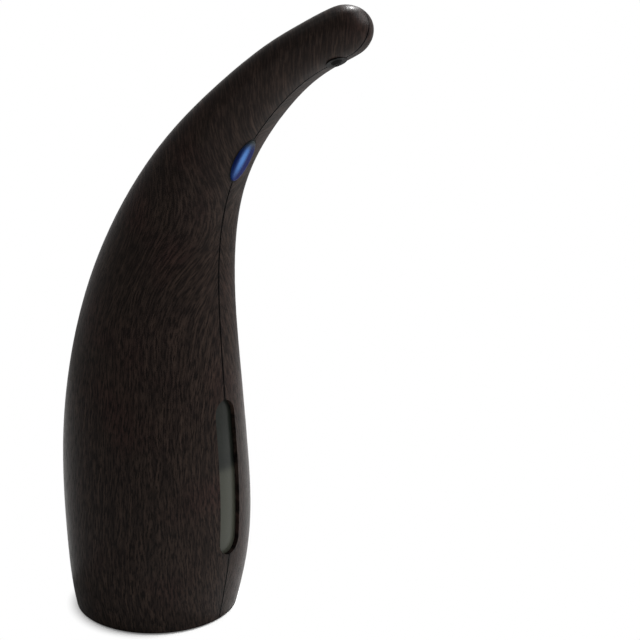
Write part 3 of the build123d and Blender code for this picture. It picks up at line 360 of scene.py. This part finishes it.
class DISPENSER_OT_window(bpy.types.Operator):
    """Tints the level window"""
    bl_idname = "dispenser.window"
    bl_label = "Level window"

    def execute(self, context):
        s = context.scene.dispenser_window
        # smoked polycarbonate, moulded and polished: a hard smooth face, grey-green inside
        material, tree, output, place = start_material("smoked polycarbonate")
        level_blur = 0.003
        parts = add_node(tree, "ShaderNodeSeparateXYZ", None, {"Vector": place})
        level = add_node(tree, "ShaderNodeMapRange",
                         {"From Min": s.level - level_blur, "From Max": s.level + level_blur},
                         {"Value": parts.outputs["Z"]}, interpolation_type="SMOOTHSTEP")
        tone = add_node(tree, "ShaderNodeMix",
                        {6: rgba(s.full_colour), 7: rgba(s.empty_colour)},
                        {0: level.outputs["Result"]}, data_type="RGBA")
        # a darker band just above the level
        level_band_colour = linear("0b0d0b")
        level_band_rise, level_band_core, level_band_edge, level_band_share = 0.004, 0.001, 0.0055, 0.65
        rise = add_node(tree, "ShaderNodeMath", {1: s.level + level_band_rise},
                        {0: parts.outputs["Z"]}, operation="SUBTRACT")
        rise = add_node(tree, "ShaderNodeMath", None, {0: rise.outputs["Value"]},
                        operation="ABSOLUTE")
        level_band = add_node(tree, "ShaderNodeMapRange",
                         {"From Min": level_band_core, "From Max": level_band_edge,
                          "To Min": level_band_share, "To Max": 0.0},
                         {"Value": rise.outputs["Value"]}, interpolation_type="SMOOTHSTEP")
        tone = add_node(tree, "ShaderNodeMix", {7: rgba(level_band_colour)},
                        {0: level_band.outputs["Result"], 6: tone.outputs[2]}, data_type="RGBA")
        # haze from handling, in patches 17 mm apart
        haze_size, least_rough, most_rough = 1 / 60, 0.26, 0.38
        haze = add_node(tree, "ShaderNodeTexNoise", {"Scale": 1 / haze_size, "Detail": 2.0},
                        {"Vector": place})
        haze = add_node(tree, "ShaderNodeMapRange",
                        {"To Min": least_rough, "To Max": most_rough},
                        {"Value": haze.outputs["Fac"]})
        surface = add_node(tree, "ShaderNodeBsdfPrincipled",
                           {"IOR": 1.58, "Specular IOR Level": 0.05,
                            "Transmission Weight": 0.02},
                           {"Base Color": tone.outputs[2], "Roughness": haze.outputs["Result"]})
        tree.links.new(surface.outputs["BSDF"], output.inputs["Surface"])
        dress(material, "level_window")
        return {"FINISHED"}


class DISPENSER_OT_lens(bpy.types.Operator):
    """Lights the oval sensor lens"""
    bl_idname = "dispenser.lens"
    bl_label = "Sensor lens"

    def execute(self, context):
        s = context.scene.dispenser_lens
        # blue tinted acrylic, polished, with a lamp behind it: the lamp's light is painted glow
        # that the lens gives off itself, brightest near its middle and dim at its rim
        material, tree, output, place = start_material("blue acrylic")
        local = add_node(tree, "ShaderNodeMapping",
                         {"Location": (s.glow_aside, -s.glow_forward, -s.glow_height)},
                         {"Vector": place})
        parts = add_node(tree, "ShaderNodeSeparateXYZ", None,
                         {"Vector": local.outputs["Vector"]})
        # the lit oval reaches 3.2 mm to each side and 10.6 mm up and down
        oval_width, oval_height = 1 / 310, 1 / 94
        oval = add_node(tree, "ShaderNodeMapping",
                        {"Scale": (1 / oval_width, 0.0, 1 / oval_height)},
                        {"Vector": local.outputs["Vector"]})
        away = add_node(tree, "ShaderNodeVectorMath", None,
                        {0: oval.outputs["Vector"]}, operation="LENGTH")
        core_share, edge_share = 0.05, 0.95
        lit = add_node(tree, "ShaderNodeMapRange",
                       {"From Min": core_share, "From Max": edge_share,
                        "To Min": 1.0, "To Max": 0.0},
                       {"Value": away.outputs["Value"]}, interpolation_type="SMOOTHSTEP")
        blue = add_node(tree, "ShaderNodeMix",
                        {6: rgba(s.painted_glow_rim_colour), 7: rgba(s.glow_colour)},
                        {0: lit.outputs["Result"]}, data_type="RGBA")
        # its upper end is out of the lamp's reach
        shade_foot, shade_full, shade_share = 0.0038, 0.0070, 0.95
        upper = add_node(tree, "ShaderNodeMapRange",
                         {"From Min": shade_foot, "From Max": shade_full,
                          "To Max": shade_share},
                         {"Value": parts.outputs["Z"]})
        shade = add_node(tree, "ShaderNodeMix", {7: rgba(s.shade_colour)},
                         {0: upper.outputs["Result"], 6: blue.outputs[2]}, data_type="RGBA")
        # the lens itself gives off the painted glow, though it is no lamp
        surface = add_node(tree, "ShaderNodeBsdfPrincipled",
                           {"IOR": 1.49, "Roughness": 0.35, "Specular IOR Level": 0.02,
                            "Coat Weight": 0.015, "Coat Roughness": 0.06,
                            "Emission Strength": s.glow_strength},
                           {"Base Color": shade.outputs[2], "Emission Color": shade.outputs[2]})
        tree.links.new(surface.outputs["BSDF"], output.inputs["Surface"])
        dress(material, "sensor_lens")
        return {"FINISHED"}


class DISPENSER_OT_plastics(bpy.types.Operator):
    """Finishes the moulded parts: base, gearbox, pump, tank, gears, seals and hoses"""
    bl_idname = "dispenser.plastics"
    bl_label = "Moulded parts"

    def execute(self, context):
        # (name, colour, paler colour, roughness, IOR, specular level, grains per metre,
        # relief, clear share, nodes); real tool grain is finer than 0.1 mm and is drawn at
        # 0.7 to 4.5 mm, so that it shows
        cloud_size, gloss_spread, grain_depth = 12, 0.06, 0.00008
        kinds = (
            # silicone rubber, moulded: dull black with a faint bloom
            ("moulded silicone rubber", "070707", "101010", 0.62, 1.41, 0.06, 900.0, 0.15, 0.0,
             ("lens_gasket", "rubber_feet", "battery_cover_foot", "battery_cover_gasket",
              "refill_seal", "pump_seal", "nozzle_tip")),
            # black ABS off a spark-eroded tool: fine even grain, half matt
            ("black ABS, fine tool grain", "060606", "0d0d0d", 0.5, 1.53, 0.02, 1400.0, 0.3,
             0.0,
             ("nozzle_seat", "base_frame", "battery_cover", "gearbox_housing", "gearbox_lid",
              "motor_cap", "outlet_elbow", "sensor_bracket", "button_switch")),
            # natural polypropylene, blow moulded: milky, lets some light through
            ("natural polypropylene", "c9c8bd", "dad9cf", 0.38, 1.49, 0.5, 220.0, 0.1, 0.3,
             ("refill_neck", "soap_tank")),
            # acetal, injection moulded: slippery off-white with a low sheen
            ("white acetal", "d6d3c8", "e4e2da", 0.33, 1.48, 0.5, 500.0, 0.08, 0.0,
             ("outlet_strainer", "motor_pinion", "first_gear", "second_gear", "output_gear",
              "pump_housing", "pump_lid", "pump_drive_rotor", "pump_idle_rotor",
              "switch_plunger")),
            # silicone hose, extruded: hazy and soft
            ("clear silicone hose", "b9bab4", "cfd0ca", 0.42, 1.41, 0.5, 300.0, 0.05, 0.45,
             ("suction_tube", "delivery_tube")),
        )
        for name, dark, pale, rough, ior, shine, grain, relief, clear, nodes in kinds:
            material, tree, output, place = start_material(name)
            speck = add_node(tree, "ShaderNodeTexNoise",
                             {"Scale": grain, "Detail": 3.0}, {"Vector": place})
            cloud = add_node(tree, "ShaderNodeTexNoise",
                             {"Scale": grain / cloud_size, "Detail": 2.0}, {"Vector": place})
            tone = add_node(tree, "ShaderNodeMix",
                            {6: rgba(linear(dark)), 7: rgba(linear(pale))},
                            {0: cloud.outputs["Fac"]}, data_type="RGBA")
            gloss = add_node(tree, "ShaderNodeMapRange",
                             {"To Min": rough - gloss_spread, "To Max": rough + gloss_spread},
                             {"Value": speck.outputs["Fac"]})
            bumps = add_node(tree, "ShaderNodeBump",
                             {"Strength": relief, "Distance": grain_depth},
                             {"Height": speck.outputs["Fac"]})
            surface = add_node(tree, "ShaderNodeBsdfPrincipled",
                               {"IOR": ior, "Specular IOR Level": shine,
                                "Transmission Weight": clear},
                               {"Base Color": tone.outputs[2],
                                "Roughness": gloss.outputs["Result"],
                                "Normal": bumps.outputs["Normal"]})
            tree.links.new(surface.outputs["BSDF"], output.inputs["Surface"])
            dress(material, *nodes)
        return {"FINISHED"}


class DISPENSER_OT_metals(bpy.types.Operator):
    """Finishes the axles, contacts, motor can, magnets and armature"""
    bl_idname = "dispenser.metals"
    bl_label = "Metal parts"

    def execute(self, context):
        # (name, colour, duller colour, roughness, metallic, marks per metre along x, y and
        # z, nodes)
        brighter, duller, mark_depth = 0.08, 0.1, 0.00003
        kinds = (
            # zinc plated steel: bluish bright with turning marks
            ("zinc plated steel", "c4c7ca", "9fa3a8", 0.28, 1.0, (1200, 1200, 9000),
             ("gear_axles", "gearbox_screws", "pump_screws", "board_screws", "refill_hinge_pin",
              "pump_shaft", "idle_axle")),
            # nickel plated spring steel: warm and bright, drawn lengthwise
            ("nickel plated steel", "cbc6bb", "a8a49b", 0.20, 1.0, (600, 6000, 1500),
             ("battery_contacts", "motor_can", "battery_cover_screw")),
            # sintered ferrite: charcoal, granular, not shiny
            ("sintered ferrite", "242424", "353433", 0.65, 0.0, (2500, 2500, 2500),
             ("motor_magnets",)),
            # enamelled copper over steel sheets: red-brown turns along the shaft
            ("enamelled copper winding", "a4532b", "6f3a22", 0.35, 1.0, (700, 700, 3500),
             ("motor_armature",)),
        )
        for name, bright, dull, rough, metal, marks, nodes in kinds:
            material, tree, output, place = start_material(name)
            drawn = add_node(tree, "ShaderNodeMapping", {"Scale": marks}, {"Vector": place})
            lines = add_node(tree, "ShaderNodeTexNoise", {"Scale": 1.0, "Detail": 3.0},
                             {"Vector": drawn.outputs["Vector"]})
            tone = add_node(tree, "ShaderNodeMix",
                            {6: rgba(linear(bright)), 7: rgba(linear(dull))},
                            {0: lines.outputs["Fac"]}, data_type="RGBA")
            gloss = add_node(tree, "ShaderNodeMapRange",
                             {"To Min": rough - brighter, "To Max": rough + duller},
                             {"Value": lines.outputs["Fac"]})
            bumps = add_node(tree, "ShaderNodeBump",
                             {"Strength": 0.15, "Distance": mark_depth},
                             {"Height": lines.outputs["Fac"]})
            surface = add_node(tree, "ShaderNodeBsdfPrincipled", {"Metallic": metal},
                               {"Base Color": tone.outputs[2],
                                "Roughness": gloss.outputs["Result"],
                                "Normal": bumps.outputs["Normal"]})
            tree.links.new(surface.outputs["BSDF"], output.inputs["Surface"])
            dress(material, *nodes)
        return {"FINISHED"}


class DISPENSER_OT_electrics(bpy.types.Operator):
    """Finishes the boards, lamps, leads and battery cells"""
    bl_idname = "dispenser.electrics"
    bl_label = "Boards and cells"

    def execute(self, context):
        # glass epoxy board under green lacquer: copper tracks show as paler bands
        material, tree, output, place = start_material("green lacquered glass epoxy")
        track_fields, track_width = 300.0, 0.12  # fields per metre, share of a field
        tracks = add_node(tree, "ShaderNodeTexBrick",
                          {"Scale": track_fields, "Mortar Size": track_width,
                           "Color1": rgba(linear("0f4a26")),
                           "Color2": rgba(linear("12552c")),
                           "Mortar": rgba(linear("2f7d45"))},
                          {"Vector": place})
        surface = add_node(tree, "ShaderNodeBsdfPrincipled", {"IOR": 1.55, "Roughness": 0.3},
                           {"Base Color": tracks.outputs["Color"]})
        tree.links.new(surface.outputs["BSDF"], output.inputs["Surface"])
        dress(material, "control_board", "sensor_board")

        # (name, colour, paler colour, roughness, clear share, glow, nodes), with a faint
        # change of tone about every 3 mm
        clouds, brighter, duller = 350.0, 0.04, 0.08
        kinds = (
            # moulded epoxy packages: near black, slightly glossy
            ("black epoxy package", "101013", "1d1d20", 0.3, 0.0, 0.0,
             ("board_parts", "infrared_receiver")),
            # water-clear epoxy of the sending lamp
            ("clear epoxy lamp", "c8d2dc", "dfe6ec", 0.08, 0.6, 0.0, ("infrared_emitter",)),
            # lit lamp behind the lens
            ("lit blue lamp", "8fb4ff", "b8d0ff", 0.2, 0.0, 1.0, ("status_light",)),
            # PVC lead insulation, extruded
            ("red PVC lead", "8d1512", "a31c18", 0.35, 0.0, 0.0,
             ("motor_leads", "battery_leads")),
            ("grey PVC cable", "2f3134", "3a3c40", 0.4, 0.0, 0.0, ("sensor_cable",)),
        )
        for name, dark, pale, rough, clear, glow, nodes in kinds:
            material, tree, output, place = start_material(name)
            cloud = add_node(tree, "ShaderNodeTexNoise", {"Scale": clouds, "Detail": 2.0},
                             {"Vector": place})
            tone = add_node(tree, "ShaderNodeMix",
                            {6: rgba(linear(dark)), 7: rgba(linear(pale))},
                            {0: cloud.outputs["Fac"]}, data_type="RGBA")
            gloss = add_node(tree, "ShaderNodeMapRange",
                             {"To Min": rough - brighter, "To Max": rough + duller},
                             {"Value": cloud.outputs["Fac"]})
            surface = add_node(tree, "ShaderNodeBsdfPrincipled",
                               {"Transmission Weight": clear, "Emission Strength": glow},
                               {"Base Color": tone.outputs[2],
                                "Roughness": gloss.outputs["Result"],
                                "Emission Color": tone.outputs[2]})
            tree.links.new(surface.outputs["BSDF"], output.inputs["Surface"])
            dress(material, *nodes)

        # shrink-wrapped label on a steel cell: dark sleeve, copper band, bare bright ends
        cell_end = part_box("battery_cells")[1][0]
        bare_length, band_end, print_grains = 0.0055, 0.013, 500.0
        material, tree, output, place = start_material("shrink label on steel cell")
        parts = add_node(tree, "ShaderNodeSeparateXYZ", None, {"Vector": place})
        aside = add_node(tree, "ShaderNodeMath", None, {0: parts.outputs["X"]},
                         operation="ABSOLUTE")
        bare = add_node(tree, "ShaderNodeMath", {1: cell_end - bare_length},
                        {0: aside.outputs["Value"]}, operation="GREATER_THAN")
        band = add_node(tree, "ShaderNodeMath", {1: cell_end - band_end},
                        {0: aside.outputs["Value"]}, operation="GREATER_THAN")
        print_grain = add_node(tree, "ShaderNodeTexNoise", {"Scale": print_grains},
                               {"Vector": place})
        sleeve = add_node(tree, "ShaderNodeMix",
                          {6: rgba(linear("15171b")), 7: rgba(linear("22262c"))},
                          {0: print_grain.outputs["Fac"]}, data_type="RGBA")
        sleeve = add_node(tree, "ShaderNodeMix", {7: rgba(linear("a5672f"))},
                          {0: band.outputs["Value"], 6: sleeve.outputs[2]}, data_type="RGBA")
        whole = add_node(tree, "ShaderNodeMix", {7: rgba(linear("c9c9c6"))},
                         {0: bare.outputs["Value"], 6: sleeve.outputs[2]}, data_type="RGBA")
        surface = add_node(tree, "ShaderNodeBsdfPrincipled", {"Roughness": 0.25},
                           {"Base Color": whole.outputs[2], "Metallic": bare.outputs["Value"]})
        tree.links.new(surface.outputs["BSDF"], output.inputs["Surface"])
        dress(material, "battery_cells")
        return {"FINISHED"}


class DISPENSER_OT_springs(bpy.types.Operator):
    """Winds the four battery springs"""
    bl_idname = "dispenser.springs"
    bl_label = "Battery springs"

    def execute(self, context):
        s = context.scene.dispenser_small_parts
        low, high = (Vector(corner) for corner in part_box("battery_springs"))
        radius = (high.z - low.z) / 2
        wire_sides, turn_steps, merge_distance = 8, 20, 0.000001
        # one spring a row, at the two ends of the cell bay by turns
        rows = 4
        row_pitch = (high.y - low.y - 2 * radius) / (rows - 1)
        springs = []
        for row in range(rows):
            side = 1 if row % 2 == 0 else -1
            bpy.ops.object.select_all(action="DESELECT")
            bpy.ops.mesh.primitive_circle_add(
                vertices=wire_sides, radius=s.wire / 2,
                location=(radius - s.wire / 2, 0.0, 0.0), rotation=(radians(90), 0.0, 0.0))
            bpy.ops.object.transform_apply(location=True, rotation=True, scale=True)
            spring = context.active_object
            wind = spring.modifiers.new("wind", "SCREW")
            wind.angle = radians(360)
            wind.screw_offset = s.spring_pitch
            wind.iterations = s.turns
            wind.steps = wind.render_steps = turn_steps
            bpy.ops.object.modifier_apply(modifier="wind")
            narrow = spring.modifiers.new("narrow", "SIMPLE_DEFORM")
            narrow.deform_method = "TAPER"
            narrow.deform_axis = "Z"
            narrow.factor = s.spring_tip / radius - 1
            bpy.ops.object.modifier_apply(modifier="narrow")
            bpy.ops.object.mode_set(mode="EDIT")
            bpy.ops.mesh.select_all(action="SELECT")
            bpy.ops.mesh.remove_doubles(threshold=merge_distance)
            bpy.ops.mesh.fill_holes(sides=0)
            bpy.ops.mesh.normals_make_consistent(inside=False)
            bpy.ops.object.mode_set(mode="OBJECT")
            reach = high.x if side > 0 else -low.x
            spring.rotation_euler = (0.0, radians(-90 * side), 0.0)
            spring.location = (side * (reach - s.wire / 2),
                               low.y + radius + row * row_pitch, (low.z + high.z) / 2)
            bpy.ops.object.transform_apply(location=True, rotation=True, scale=True)
            springs.append(spring)
        bpy.ops.object.select_all(action="DESELECT")
        for spring in springs:
            spring.select_set(True)
        context.view_layer.objects.active = springs[0]
        bpy.ops.object.join()
        coils = context.active_object
        coils.name = "battery_spring_coils"
        bpy.ops.object.shade_smooth()
        coils.data.materials.append(bpy.data.materials["nickel plated steel"])
        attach(coils, "housing")
        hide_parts("battery_springs")
        return {"FINISHED"}


class DISPENSER_OT_base_screws(bpy.types.Operator):
    """Cuts the four cross-head screws under the base"""
    bl_idname = "dispenser.base_screws"
    bl_label = "Base screws"

    def execute(self, context):
        s = context.scene.dispenser_small_parts
        low, high = (Vector(corner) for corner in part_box("base_screws"))
        head_depth, head_rounding, head_sides, shank_sides = 0.0012, 0.0002, 40, 24
        recess_reach, recess_width = 1.25, 0.3  # shares of the head's radius
        shank_foot = 0.0011  # a tenth of a millimetre inside the head
        bpy.ops.object.select_all(action="DESELECT")
        bpy.ops.mesh.primitive_cylinder_add(
            vertices=head_sides, radius=s.screw_head, depth=head_depth,
            location=(0.0, 0.0, head_depth / 2))
        screw = context.active_object
        bpy.ops.object.transform_apply(location=True, rotation=True, scale=True)
        soften = screw.modifiers.new("soften", "BEVEL")
        soften.width = head_rounding
        soften.segments = 3
        bpy.ops.object.modifier_apply(modifier="soften")
        # the driver recess: two narrow blocks sunk across the face, half a head deep
        blades = []
        for turn in (0, 90):
            bpy.ops.mesh.primitive_cube_add(
                size=1.0, location=(0.0, 0.0, 0.0), rotation=(0.0, 0.0, radians(turn)),
                scale=(s.screw_head * recess_reach, s.screw_head * recess_width, head_depth))
            blades.append(context.active_object)
            bpy.ops.object.transform_apply(location=True, rotation=True, scale=True)
        for blade in blades:
            cut = screw.modifiers.new("recess", "BOOLEAN")
            cut.object = blade
            cut.operation = "DIFFERENCE"
            cut.solver = "EXACT"
            context.view_layer.objects.active = screw
            bpy.ops.object.modifier_apply(modifier="recess")
        bpy.ops.mesh.primitive_cylinder_add(
            vertices=shank_sides, radius=s.screw_shank, depth=high.z - low.z - shank_foot,
            location=(0.0, 0.0, (high.z - low.z + shank_foot) / 2))
        shank = context.active_object
        bpy.ops.object.transform_apply(location=True, rotation=True, scale=True)
        bpy.ops.object.select_all(action="DESELECT")
        for blade in blades:
            blade.select_set(True)
        bpy.ops.object.delete()
        shank.select_set(True)
        screw.select_set(True)
        context.view_layer.objects.active = screw
        bpy.ops.object.join()
        screw.data.materials.append(bpy.data.materials["zinc plated steel"])
        places = [(x, y) for x in (low.x + s.screw_head, high.x - s.screw_head)
                  for y in (low.y + s.screw_head, high.y - s.screw_head)]
        screws = []
        for x, y in places:
            copy = screw.copy()
            copy.data = screw.data.copy()
            context.collection.objects.link(copy)
            copy.location = (x, y, low.z)
            screws.append(copy)
        bpy.ops.object.select_all(action="DESELECT")
        screw.select_set(True)
        bpy.ops.object.delete()
        for copy in screws:
            copy.select_set(True)
        context.view_layer.objects.active = screws[0]
        bpy.ops.object.join()
        bpy.ops.object.transform_apply(location=True, rotation=True, scale=True)
        joined = context.active_object
        joined.name = "cross_head_screws"
        bpy.ops.object.shade_smooth_by_angle(angle=radians(35))
        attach(joined, "housing")
        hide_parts("base_screws")
        return {"FINISHED"}


class DISPENSER_OT_stage(bpy.types.Operator):
    """Sets up the floor, the lamps, the world and the camera"""
    bl_idname = "dispenser.stage"
    bl_label = "Stage"

    def execute(self, context):
        s = context.scene.dispenser_stage
        white_light = rgba(linear("ffffff"))
        floor_size, floor_drop = 8.0, 0.0001
        bpy.ops.object.select_all(action="DESELECT")
        bpy.ops.mesh.primitive_plane_add(size=floor_size, location=(0.0, 0.0, -floor_drop))
        floor = context.active_object
        floor.name = "paper_floor"
        # matte white paper: it shows the shadow close by and turns to plain white further off
        fibres, fibre_height = 400.0, 0.0002
        shadow_full, shadow_none = 0.037, 0.047
        material, tree, output, place = start_material("matte white paper")
        fibre = add_node(tree, "ShaderNodeTexNoise", {"Scale": fibres, "Detail": 2.0},
                         {"Vector": place})
        relief = add_node(tree, "ShaderNodeBump", {"Strength": 0.02, "Distance": fibre_height},
                          {"Height": fibre.outputs["Fac"]})
        paper = add_node(tree, "ShaderNodeBsdfPrincipled",
                         {"Base Color": rgba(s.floor_colour), "Roughness": 0.9,
                          "Specular IOR Level": 0.0},
                         {"Normal": relief.outputs["Normal"]})
        away = add_node(tree, "ShaderNodeVectorMath", None, {0: place}, operation="LENGTH")
        far = add_node(tree, "ShaderNodeMapRange",
                       {"From Min": shadow_full, "From Max": shadow_none},
                       {"Value": away.outputs["Value"]}, interpolation_type="SMOOTHSTEP")
        rays = add_node(tree, "ShaderNodeLightPath")
        plain = add_node(tree, "ShaderNodeMath", None,
                         {0: far.outputs["Result"], 1: rays.outputs["Is Camera Ray"]},
                         operation="MULTIPLY")
        white = add_node(tree, "ShaderNodeEmission", {"Color": white_light, "Strength": 1.0})
        both = add_node(tree, "ShaderNodeMixShader", None,
                        {0: plain.outputs["Value"], 1: paper.outputs["BSDF"],
                         2: white.outputs["Emission"]})
        tree.links.new(both.outputs["Shader"], output.inputs["Surface"])
        floor.data.materials.append(material)

        # soft even light on the object; sight, gloss and glass see plain white
        soft_strength = 0.21
        world = bpy.data.worlds.new("plain studio")
        world.use_nodes = True
        context.scene.world = world
        tree = world.node_tree
        tree.nodes.clear()
        output = add_node(tree, "ShaderNodeOutputWorld")
        rays = add_node(tree, "ShaderNodeLightPath")
        seen = add_node(tree, "ShaderNodeMath", None,
                        {0: rays.outputs["Is Camera Ray"],
                         1: rays.outputs["Is Transmission Ray"]},
                        operation="MAXIMUM")
        seen = add_node(tree, "ShaderNodeMath", None,
                        {0: seen.outputs["Value"], 1: rays.outputs["Is Glossy Ray"]},
                        operation="MAXIMUM")
        soft = add_node(tree, "ShaderNodeBackground",
                        {"Color": white_light, "Strength": soft_strength})
        white = add_node(tree, "ShaderNodeBackground", {"Color": white_light, "Strength": 1.0})
        both = add_node(tree, "ShaderNodeMixShader", None,
                        {0: seen.outputs["Value"], 1: soft.outputs["Background"],
                         2: white.outputs["Background"]})
        tree.links.new(both.outputs["Shader"], output.inputs["Surface"])

        # (name, place, width in metres, power), all turned to the middle of the body
        lamps = (
            ("key_lamp", (0.55, -0.75, 0.85), 0.7, s.key_power),
            ("top_lamp", (-0.35, 0.15, 1.3), 0.9, s.top_power),
            ("spark_lamp", (0.46, -0.05, 0.97), 0.05, s.spark_power),
        )
        middle = Vector((0.0, -0.03, 0.14))
        for name, at, size, power in lamps:
            bpy.ops.object.light_add(type="AREA", location=at)
            lamp = context.active_object
            lamp.name = name
            lamp.data.size = size
            lamp.data.energy = power
            lamp.rotation_euler = (Vector(at) - middle).to_track_quat("Z", "Y").to_euler()

        # the photograph's view: from the front and one side, the dispenser left of centre
        view_place, look_down, look_aside = (-0.2840, -0.2763, 0.1867), 6.26, 50.34
        frame_shift = 0.159
        bpy.ops.object.camera_add(location=view_place)
        camera = context.active_object
        camera.name = "photo_camera"
        camera.rotation_euler = (radians(90 - look_down), 0.0, radians(-look_aside))
        camera.data.lens = s.focal_length
        camera.data.sensor_width = 36.0
        camera.data.shift_x = frame_shift
        camera.data.clip_start = 0.01
        context.scene.camera = camera
        context.scene.view_settings.view_transform = "Standard"
        return {"FINISHED"}


class DISPENSER_PT_panel(bpy.types.Panel):
    bl_label = "Dispenser"
    bl_space_type = "VIEW_3D"
    bl_region_type = "UI"
    bl_category = "Dispenser"

    def draw(self, context):
        for operator in steps:
            self.layout.operator(operator.bl_idname)
        for settings in groups:
            self.layout.label(text=settings.__name__)
            values = getattr(context.scene, groups[settings])
            for name in settings.__annotations__:
                self.layout.prop(values, name)


groups = {
    ShellSettings: "dispenser_shell",
    WindowSettings: "dispenser_window",
    LensSettings: "dispenser_lens",
    SmallPartSettings: "dispenser_small_parts",
    StageSettings: "dispenser_stage",
}
steps = (
    DISPENSER_OT_shells,
    DISPENSER_OT_window,
    DISPENSER_OT_lens,
    DISPENSER_OT_plastics,
    DISPENSER_OT_metals,
    DISPENSER_OT_electrics,
    DISPENSER_OT_springs,
    DISPENSER_OT_base_screws,
    DISPENSER_OT_stage,
)


def register():
    for kind in (*groups, *steps, DISPENSER_PT_panel):
        bpy.utils.register_class(kind)
    for kind, name in groups.items():
        setattr(bpy.types.Scene, name, bpy.props.PointerProperty(type=kind))


def unregister():
    for name in groups.values():
        delattr(bpy.types.Scene, name)
    for kind in reversed((*groups, *steps, DISPENSER_PT_panel)):
        bpy.utils.unregister_class(kind)


def main():
    register()
    bpy.ops.dispenser.shells()
    bpy.ops.dispenser.window()
    bpy.ops.dispenser.lens()
    bpy.ops.dispenser.plastics()
    bpy.ops.dispenser.metals()
    bpy.ops.dispenser.electrics()
    bpy.ops.dispenser.springs()
    bpy.ops.dispenser.base_screws()
    bpy.ops.dispenser.stage()


if __name__ == "__main__":
    main()
